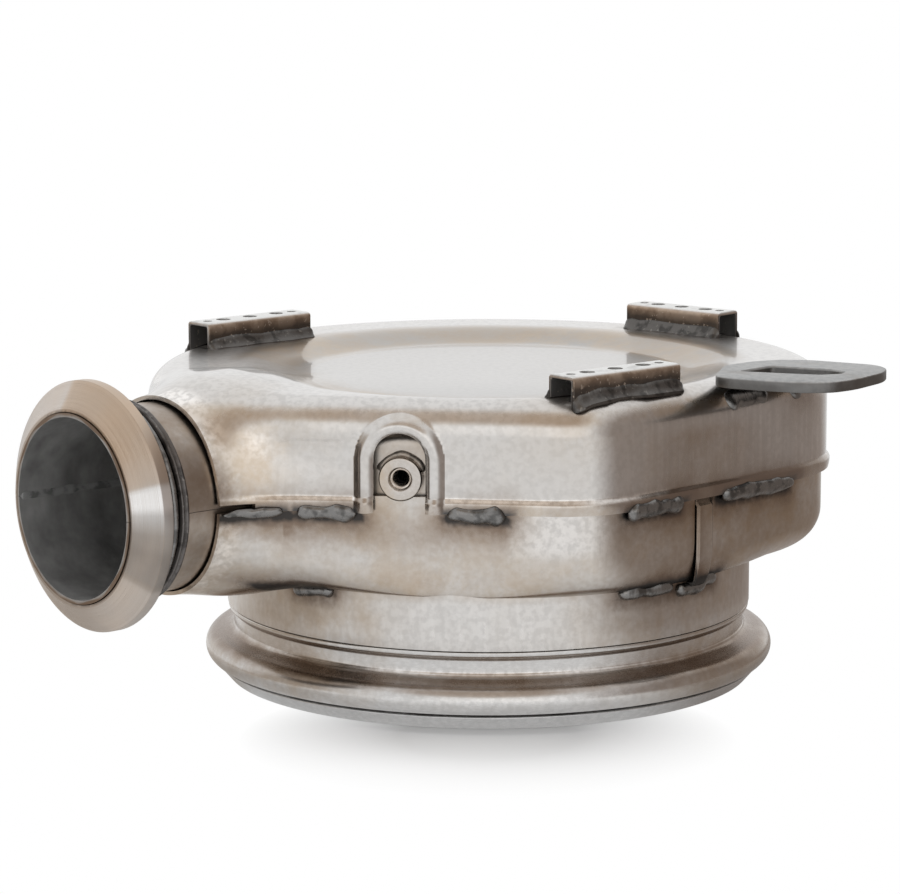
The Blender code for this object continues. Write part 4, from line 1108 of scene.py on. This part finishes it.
side_tone = bracket_steel.mix(side_tone, (0.50, 0.42, 0.35), fleck.rise(0.655, 0.03) * 0.7)
# The top is bare steel; the channel's inner walls are painted lighter as fill light.
tone = bracket_steel.mix(side_tone, (0.74, 0.74, 0.73), bracket_steel.paint("bare"))
bracket_steel.feed("Base Color", bracket_steel.mix(tone, (0.07, 0.062, 0.058),
                                                   cloud.rise(0.56, 0.14) * 0.35))
bracket_steel.feed("Roughness", 0.24 + drawn * 0.22 + cloud * 0.12)
bracket_steel.bump(drawn + cloud * 0.6, 0.00008)


def highest(test, x, low, high):
    """Greatest height up to which a test holds at each point, by halving."""
    low, high = np.full_like(x, low), np.full_like(x, high)
    for _ in range(32):
        mid = 0.5 * (low + high)
        held = test(mid)
        low, high = np.where(held, mid, low), np.where(held, high, mid)
    return low


BEAD_STEP = 0.0006
RIPPLE = 0.012
RIPPLE_STEP = 0.0021
FILLET = ((-0.25, 1.0), (0.0, 1.06), (0.14, 0.98), (0.30, 0.74), (0.52, 0.46), (0.76, 0.24),
          (1.0, 0.08), (1.06, -0.10), (0.9, -0.25), (-0.25, -0.25))


def bead(name, path, outs, width, height, seed, finish, slot, *nodes, sink=0.0005, section=None):
    """Bead of weld along a path: a rounded ridge, or a fillet on its section's shape."""
    rng = np.random.default_rng(seed)
    path, outs = np.array(path, float), np.array(outs, float)
    length = np.concatenate([[0], np.cumsum(np.linalg.norm(np.diff(path, axis=0), axis=1))])
    count = max(8, int(length[-1] / BEAD_STEP))
    s = np.linspace(0, length[-1], count)
    centre = np.stack([np.interp(s, length, path[:, c]) for c in range(3)], 1)
    out = np.stack([np.interp(s, length, outs[:, c]) for c in range(3)], 1)
    out /= np.linalg.norm(out, axis=1)[:, None]
    ahead = np.gradient(centre, axis=0)
    ahead /= np.linalg.norm(ahead, axis=1)[:, None]
    across = np.cross(ahead, out)
    knots = max(4, int(length[-1] / (0.0085 if section else 0.0042)))
    at = np.linspace(0, length[-1], knots)
    soft = np.hanning(7) / np.hanning(7).sum()

    def flowing(low, high):
        """Smooth seeded change along the bead."""
        values = np.interp(s, at, rng.uniform(low, high, knots))
        return np.convolve(np.pad(values, 3, mode='edge'), soft, 'valid')

    lump, drift = flowing(0.86, 1.16), flowing(-0.08, 0.08)
    above, below = flowing(0.72, 1.18), flowing(0.72, 1.28)
    end = np.minimum(s, length[-1] - s) / (width * 1.3)
    taper = np.sqrt(np.clip(1 - (1 - np.clip(end, 0, 1)) ** 2, 0.02, 1))
    phi = np.radians(np.linspace(-112, 112, 15))
    bm = bmesh.new()
    rows = []
    for i in range(count):
        row = []
        ripple = 1 + RIPPLE * math.sin(2 * math.pi * s[i] / RIPPLE_STEP + seed)
        for side, rise in section or ():
            q = (centre[i] + out[i] * (width * side * taper[i] * below[i])
                 + Vector((0, 0, height * rise * lump[i] * (0.35 + 0.65 * taper[i]))) * ripple)
            row.append(bm.verts.new(q))
        for angle in () if section else phi:
            size = lump[i] * taper[i] * (1 + (ripple - 1) * max(0.0, math.cos(angle)))
            reach = above[i] if (across[i][2] > 0) == (angle > 0) else below[i]
            q = (centre[i] + out[i] * (height * size * math.cos(angle) - sink)
                 + across[i] * (width * (size * reach * math.sin(angle) + drift[i] * taper[i])))
            row.append(bm.verts.new(q))
        rows.append(row)
    skin_over(bm, rows)
    bm.faces.new(rows[0])
    bm.faces.new(rows[-1])
    return made_piece(name, bm, finish, slot, *nodes)


def leg(side, top, sign, radius, steps):
    """Line of a leg in section, from its foot up round its bend."""
    return [(side, -LEG_H), (side, -LEG_STRAIGHT)] + [
        (side + sign * radius * (1 - math.cos(a)), top - radius * (1 - math.sin(a)))
        for a in np.linspace(0, math.pi / 2, steps)]


outer = leg(0, 0, 1, BEND_OUT, 7)
inner = leg(BRACKET_W - BRACKET_T, -BRACKET_T, -1, BEND_IN, 5)
section = []
for line in (outer, inner):
    section += line + [(BRACKET_W - a, b) for a, b in reversed(line)]
bracket_weld = weld_metal("bracket_weld_metal", (0.125, 0.118, 0.112), 0.34)
trim = ray_solid("trim", lambda x, y, z: cover_field(x, y, z, -0.0005), directions(1.6, 1.6),
                 [Z_PART + 0.02], Z_PART + 0.021, 1, 60)
trim["keep"] = True
for number, (tag, corner, angle, share, drop) in enumerate(BRACKETS):
    along = Vector((math.cos(math.radians(angle)), math.sin(math.radians(angle)), 0))
    back = Vector((-along.y, along.x, 0))
    start = Vector((*corner, 0))
    length, top = BRACKET_L * share, Z_TOP + BRACKET_H - drop
    rings = []
    for station in [0, 0.0004] + list(np.linspace(0.002, length - 0.002, 36)) + [
            length - 0.0004, length]:
        tuck = 0.0004 if station in (0, length) else 0.0
        rings.append([start + along * station + back * min(max(a, tuck), BRACKET_W - tuck)
                      + Vector((0, 0, top + min(b, -tuck))) for a, b in section])
    bracket = lofted(rings)
    bracket.name = "bracket_channel_" + tag
    holes = []
    for at, radius in HOLES:
        centre = start + along * (length * at) + back * (BRACKET_W / 2)
        holes.append(drum(radius, -0.006, 0.004, 40,
                          Matrix.Translation((centre.x, centre.y, top))))
    carve(bracket, trim, *holes)
    p = points_of(bracket)
    rise = (p[2] - (Z_TOP - 0.004)) / (top - Z_TOP + 0.004)
    depth = (p[0] - start.x) * back.x + (p[1] - start.y) * back.y
    inside = ((depth > BRACKET_T - 1e-5) & (depth < BRACKET_W - BRACKET_T + 1e-5)
              & (p[2] < top - BRACKET_T + 1e-5))
    # Bare top, and a painted fill light on the channel's inner walls.
    store(bracket, lift=rise * ~inside, bare=ramp((p[2] - top + 0.0012) / 0.0010) + 0.3 * inside)
    settle(bracket, bracket_steel, "bracket_steel", "bracket_" + tag)
    for which, sign, edge in (("near", -1, 0.0), ("far", 1, BRACKET_W)):
        foot = [start + along * (length * f) + back * edge for f in np.linspace(-0.012, 1.02, 44)]
        x, y = np.array([q.x for q in foot]), np.array([q.y for q in foot])
        ground = highest(lambda z: cover_field(x, y, z) < 0, x, Z_PART, Z_TOP + 0.02)
        bead("bracket_fillet_%s_%s" % (which, tag), np.stack([x, y, ground], 1),
             [tuple(back * sign)] * len(foot), 0.0050, 0.0058, number * 7 + sign + 4,
             bracket_weld, "weld_metal", "bracket_weld_%s_%s" % (which, tag), section=FILLET)
bpy.data.objects.remove(trim)


# Lug plate: hot rolled steel plate with a window for a hook, cut by flame and welded
# by its inner end to the rounded edge of the cover. Its edges are slightly rounded.

LUG_T = 0.0060
LUG_Z = Z_TOP + GAP + 0.0002
LUG = [(0.121, -0.100), (0.128, -0.064), (0.143, -0.049), (0.160, -0.041), (0.178, -0.043),
       (0.2115, -0.061), (0.2165, -0.073), (0.2125, -0.088), (0.196, -0.112), (0.183, -0.123),
       (0.166, -0.125), (0.145, -0.117), (0.126, -0.107)]
WINDOW = [(0.136, -0.084), (0.1545, -0.065), (0.186, -0.079), (0.192, -0.086),
          (0.189, -0.093), (0.178, -0.097), (0.160, -0.092)]
hot_rolled = Finish("lug_hot_rolled_steel", (0.27, 0.275, 0.275), 0.42)
scale = hot_rolled.grain(240, 5, rough=0.62)
pits = hot_rolled.grain(620, 3)
tone = hot_rolled.mix((0.33, 0.335, 0.337), (0.44, 0.44, 0.435), scale.rise(0.40, 0.2))
tone = hot_rolled.mix(tone, (0.20, 0.16, 0.125), hot_rolled.grain(38, 4).rise(0.56, 0.16) * 0.35)
tone = hot_rolled.mix(tone, (0.115, 0.11, 0.105), hot_rolled.paint("edge") * 0.75)
hot_rolled.feed("Base Color", hot_rolled.mix(tone, (0.09, 0.085, 0.08),
                                             hot_rolled.paint("burn") * 0.9))
hot_rolled.feed("Roughness", 0.30 + scale * 0.2 + pits * 0.1)
hot_rolled.bump(scale + pits * 0.8, 0.00012)


def flame_cut(outline, size, steps, levels):
    """Closed shape over a clockwise outline, set in and at a height for each level."""
    line = softened(outline, size, steps)
    rings = []
    for inset, z in levels:
        ring = []
        for i, corner in enumerate(line):
            tangent = (line[(i + 1) % len(line)] - line[i - 1]).normalized()
            ring.append(Vector((*(corner + Vector((tangent.y, -tangent.x)) * inset), z)))
        rings.append(ring)
    return lofted(rings)


lug_top = LUG_Z + LUG_T
lug = flame_cut(LUG, 0.006, 6, (
    (0.0007, LUG_Z), (0.0002, LUG_Z + 0.0002), (0, LUG_Z + 0.0007), (0, LUG_Z + LUG_T / 2),
    (0, lug_top - 0.0009), (0.0003, lug_top - 0.0003), (0.0009, lug_top)))
lug.name = "lug_plate_cut"
carve(lug, flame_cut(WINDOW, 0.0022, 5, (
    (0, LUG_Z - 0.004), (0, lug_top - 0.0010), (-0.0012, lug_top + 0.0002),
    (-0.0012, lug_top + 0.004))))
p = points_of(lug)
near = weld_gap(p, LUG_ARCS, LUG_Z)
store(lug, edge=1.0 * (p[2] < lug_top - 0.0006),
      burn=halo(near, 0.010) * (p[2] < LUG_Z + 0.004)
      * (np.hypot(p[0], p[1]) < DISC_R + 0.004))
settle(lug, hot_rolled, "lug_steel", "lug_plate")


def wall_out(field, degrees, z):
    """Distance of a wall from the can's axis, at azimuths and a height."""
    a = np.radians(degrees)
    return first_wall(field, 0, 0, np.full_like(a, z), np.cos(a), np.sin(a), np.zeros_like(a))


def arc_bead(name, degrees, r, z, tilt, width, height, seed, node, sink):
    """Bead of weld laid round the can's axis, facing out and up by a tilt."""
    ca, sa = np.cos(np.radians(degrees)), np.sin(np.radians(degrees))
    bead(name, np.stack([ca * r, sa * r, np.broadcast_to(z, ca.shape)], 1),
         np.stack([ca, sa, np.full_like(ca, tilt)], 1), width, height, seed, weld_finish,
         "weld_metal", node, sink=sink)


for number, (tag, a0, a1, z, wide) in enumerate((
        ("left", -34.5, -22.5, 0.1676, 0.0054), ("right", -17.0, -13.4, 0.1672, 0.0056))):
    degrees = np.linspace(a0, a1, 24)
    arc_bead("lug_bead_%d" % (number + 1), degrees, wall_out(cover_field, degrees, z), z, 0.75,
             wide, 0.0028, 5 + number, "lug_weld_" + tag, 0.0008)


# Seam and can welds: short beads laid by hand under the cover's lip and round the top
# of the can. They are dark grey, rippled and a little lumpy.

for i, (a0, a1) in enumerate(SEAM_WELDS):
    degrees = np.linspace(a0, a1, 30)
    lapped = wall_out(lambda x, y, z: lower_field(x, y, z, 0.0, LAP_LIFT), degrees,
                      Z_LIP - 0.006)
    lower = wall_out(lower_field, degrees, Z_LIP - 0.0005)
    lip = wall_out(cover_field, degrees, Z_LIP + 0.0006)
    # The beads at the back lie deeper, and the first one stands out beside the mouth.
    r = np.maximum(np.maximum(lapped, lower) + 0.0002, lip - (0.0006 if i < 5 else 0.0020))
    r += 0.0018 * (i == 0)
    arc_bead("seam_bead_%d" % (i + 1), degrees, r, Z_LIP - 0.0006, -0.30, 0.0047, 0.0034,
             20 + i, "seam_weld_%d" % (i + 1), 0.0003)

for i, (a0, a1) in enumerate(CAN_WELDS):
    degrees = np.linspace(a0, a1, 26)
    under = []
    for out in (0.0004, 0.0025, 0.0045):
        x, y = ((CAN_R + out) * way(np.radians(degrees)) for way in (np.cos, np.sin))
        under.append(highest(lambda z: lower_field(x, y, z, 0.0, LAP_LIFT) > 0, x,
                             Z_FLOOR - 0.03, Z_LIP - 0.01))
    arc_bead("can_bead_%d" % (i + 1), degrees, CAN_R + 0.0008, np.min(under, axis=0) - 0.0016,
             -0.55, 0.0037, 0.0034, 40 + i, "can_weld_%d" % (i + 1), 0.0004)


# Boss and pipe welds: a rusty bead round the upper side of the sensor boss, and the
# low ground seam that runs along the inside of the inlet pipe.

weld_r = BOSS_R + 0.0006
ring = [boss_place @ Vector((weld_r * math.cos(a), weld_r * math.sin(a), 0.0006))
        for a in np.radians(np.linspace(15, 165, 30))]
bead("boss_bead", ring, [(*FRONT_N, 0.0)] * 30, 0.0020, 0.0022, 61,
     weld_metal("boss_weld_metal", (0.46, 0.40, 0.34), 0.34, 0.5), "weld_metal", "sensor_boss")
inside = [neck_point(t, SKIN - PIPE_R, Z_PART) for t in np.linspace(0.17, PIPE_END - 0.001, 40)]
bead("pipe_seam_bead", inside, [(*SIDE, 0.0)] * 40, 0.0026, 0.0010, 67,
     weld_metal("pipe_seam_metal", (0.30, 0.30, 0.295), 0.4, 0.25), "weld_metal",
     "inner_skin_upper")


# The studio: a plain white floor that keeps a soft shadow, soft light from above, and
# the camera where the photograph was taken.

FLOOR_HALF = 9
SHADE_WIDE = 0.135
SHADE_DEEP = 0.125
SHADE_Y = -0.165
floor_mesh = bmesh.new()
floor_mesh.faces.new([floor_mesh.verts.new((x * FLOOR_HALF, y * FLOOR_HALF, 0))
                      for x, y in ((-1, -1), (1, -1), (1, 1), (-1, 1))])
mesh = bpy.data.meshes.new("studio_floor")
floor_mesh.to_mesh(mesh)
floor_mesh.free()
ground = bpy.data.objects.new("studio_floor", mesh)
ground.location = (0, 0, -0.0002)
bpy.context.scene.collection.objects.link(ground)
paper = Finish("studio_paper", (0.93, 0.93, 0.93), 0.9, 0.0)
paper.shader.inputs["Specular IOR Level"].default_value = 0.0
spread = paper.add("ShaderNodeVectorMath", {"operation": "MULTIPLY_ADD"}, {
    0: paper.spot, 1: (1 / SHADE_WIDE, 1 / SHADE_DEEP, 0.0),
    2: (-CAN_AT.x / SHADE_WIDE, -SHADE_Y / SHADE_DEEP, 0.0)})
away = paper.add("ShaderNodeVectorMath", {"operation": "LENGTH"}, {0: spread}, out="Value")
far = paper.add("ShaderNodeVectorMath", {"operation": "LENGTH"}, {0: paper.spot}, out="Value")
outward = paper.add("ShaderNodeVectorMath", {"operation": "NORMALIZE"}, {0: paper.spot})


def toward(made, spot, direction, start, width):
    """1 where a spot or a ray lies in a direction, 0 away from it."""
    facing = made.add("ShaderNodeVectorMath", {"operation": "DOT_PRODUCT"},
                      {0: spot, 1: tuple(Vector(direction).normalized())}, out="Value")
    return facing.rise(start, width)


def surround(made, spot, level):
    """The studio's dim right side and left band, mixed over a level."""
    level = made.mix(level, (0.35, 0.30, 0.27), toward(made, spot, (1, 0.08, 0.05), 0.52, 0.30))
    return made.mix(level, (0.56, 0.50, 0.44), toward(made, spot, (-1, -0.1, 0.1), 0.87, 0.10))


camera_ray = paper.add("ShaderNodeLightPath", out="Is Camera Ray")
glossy_ray = paper.add("ShaderNodeLightPath", out="Is Glossy Ray")
mirrored = surround(paper, outward, paper.mix((1.0, 1.0, 1.0), (0.80, 0.80, 0.80),
                                              toward(paper, outward, (0, 1, 0), 0.5, 0.3)))
shown = paper.mix((1.0, 1.0, 1.0), mirrored, glossy_ray)
glow = paper.add("ShaderNodeEmission", values={"Color": shown, "Strength": 1.0}, out="Emission")
share = away.rise(0.35, 0.62) * camera_ray + (0.45 + far.rise(0.18, 0.15) * 0.55) * glossy_ray
blend = paper.add("ShaderNodeMixShader", values={
    0: share, 1: Wire(paper, paper.shader.outputs[0]), 2: glow}, out=0)
output = next(n for n in paper.tree.nodes if n.type == 'OUTPUT_MATERIAL')
paper.tree.links.new(blend.socket, output.inputs["Surface"])
mesh.materials.append(paper.material)


class Sky(Finish):
    """The world's nodes, used as a finish's are."""

    def __init__(self, world):
        self.tree = world.node_tree
        self.spot = self.add("ShaderNodeTexCoord", out="Generated")


world = bpy.data.worlds.new("studio")
bpy.context.scene.world = world
world.use_nodes = True
sky = Sky(world)
level = sky.mix((1.0, 1.0, 1.0), (1.25, 1.24, 1.23),
                toward(sky, sky.spot, (0.1, -1, 0.34), 0.85, 0.11))
level = sky.mix(level, (0.62, 0.53, 0.45), toward(sky, sky.spot, (0, -0.50, 0.86), 0.84, 0.12))
level = surround(sky, sky.spot, level)
camera_ray = sky.add("ShaderNodeLightPath", out="Is Camera Ray")
glossy_ray = sky.add("ShaderNodeLightPath", out="Is Glossy Ray")
fill = sky.mix((0.62, 0.62, 0.62), level, glossy_ray)
fill = sky.mix(fill, (1.0, 1.0, 1.0), camera_ray)
backdrop = next(n for n in world.node_tree.nodes if n.type == 'BACKGROUND')
world.node_tree.links.new(fill.socket, backdrop.inputs["Color"])
backdrop.inputs["Strength"].default_value = 1.0

lamp_data = bpy.data.lights.new("softbox_above", 'AREA')
lamp_data.shape = 'SQUARE'
lamp_data.size = 1.3
lamp_data.energy = 19.0
lamp = bpy.data.objects.new("softbox_above", lamp_data)
bpy.context.scene.collection.objects.link(lamp)
lamp.location = (-0.3, 0.35, 1.7)
lamp.rotation_euler = (Vector((0, 0, 0.05)) - lamp.location).to_track_quat('-Z', 'Y').to_euler()
lamp.visible_glossy = False

CAMERA_AT = (0.019524, -1.995753, 0.4687)
yaw, pitch, roll = -0.010816, 0.169949, -0.001776
ahead = Vector((math.sin(yaw) * math.cos(pitch), math.cos(yaw) * math.cos(pitch),
                -math.sin(pitch)))
level_right = Vector((math.cos(yaw), -math.sin(yaw), 0))
level_up = level_right.cross(ahead)
right_way = level_right * math.cos(roll) + level_up * math.sin(roll)
up_way = right_way.cross(ahead)
lens = bpy.data.cameras.new("photo_camera")
lens.lens = 143.19
lens.sensor_width = 36
lens.sensor_fit = 'HORIZONTAL'
camera = bpy.data.objects.new("photo_camera", lens)
bpy.context.scene.collection.objects.link(camera)
turn = Matrix((right_way, up_way, -ahead)).transposed().to_4x4()
camera.matrix_world = Matrix.Translation(CAMERA_AT) @ turn
bpy.context.scene.camera = camera
bpy.context.scene.view_settings.view_transform = 'Standard'
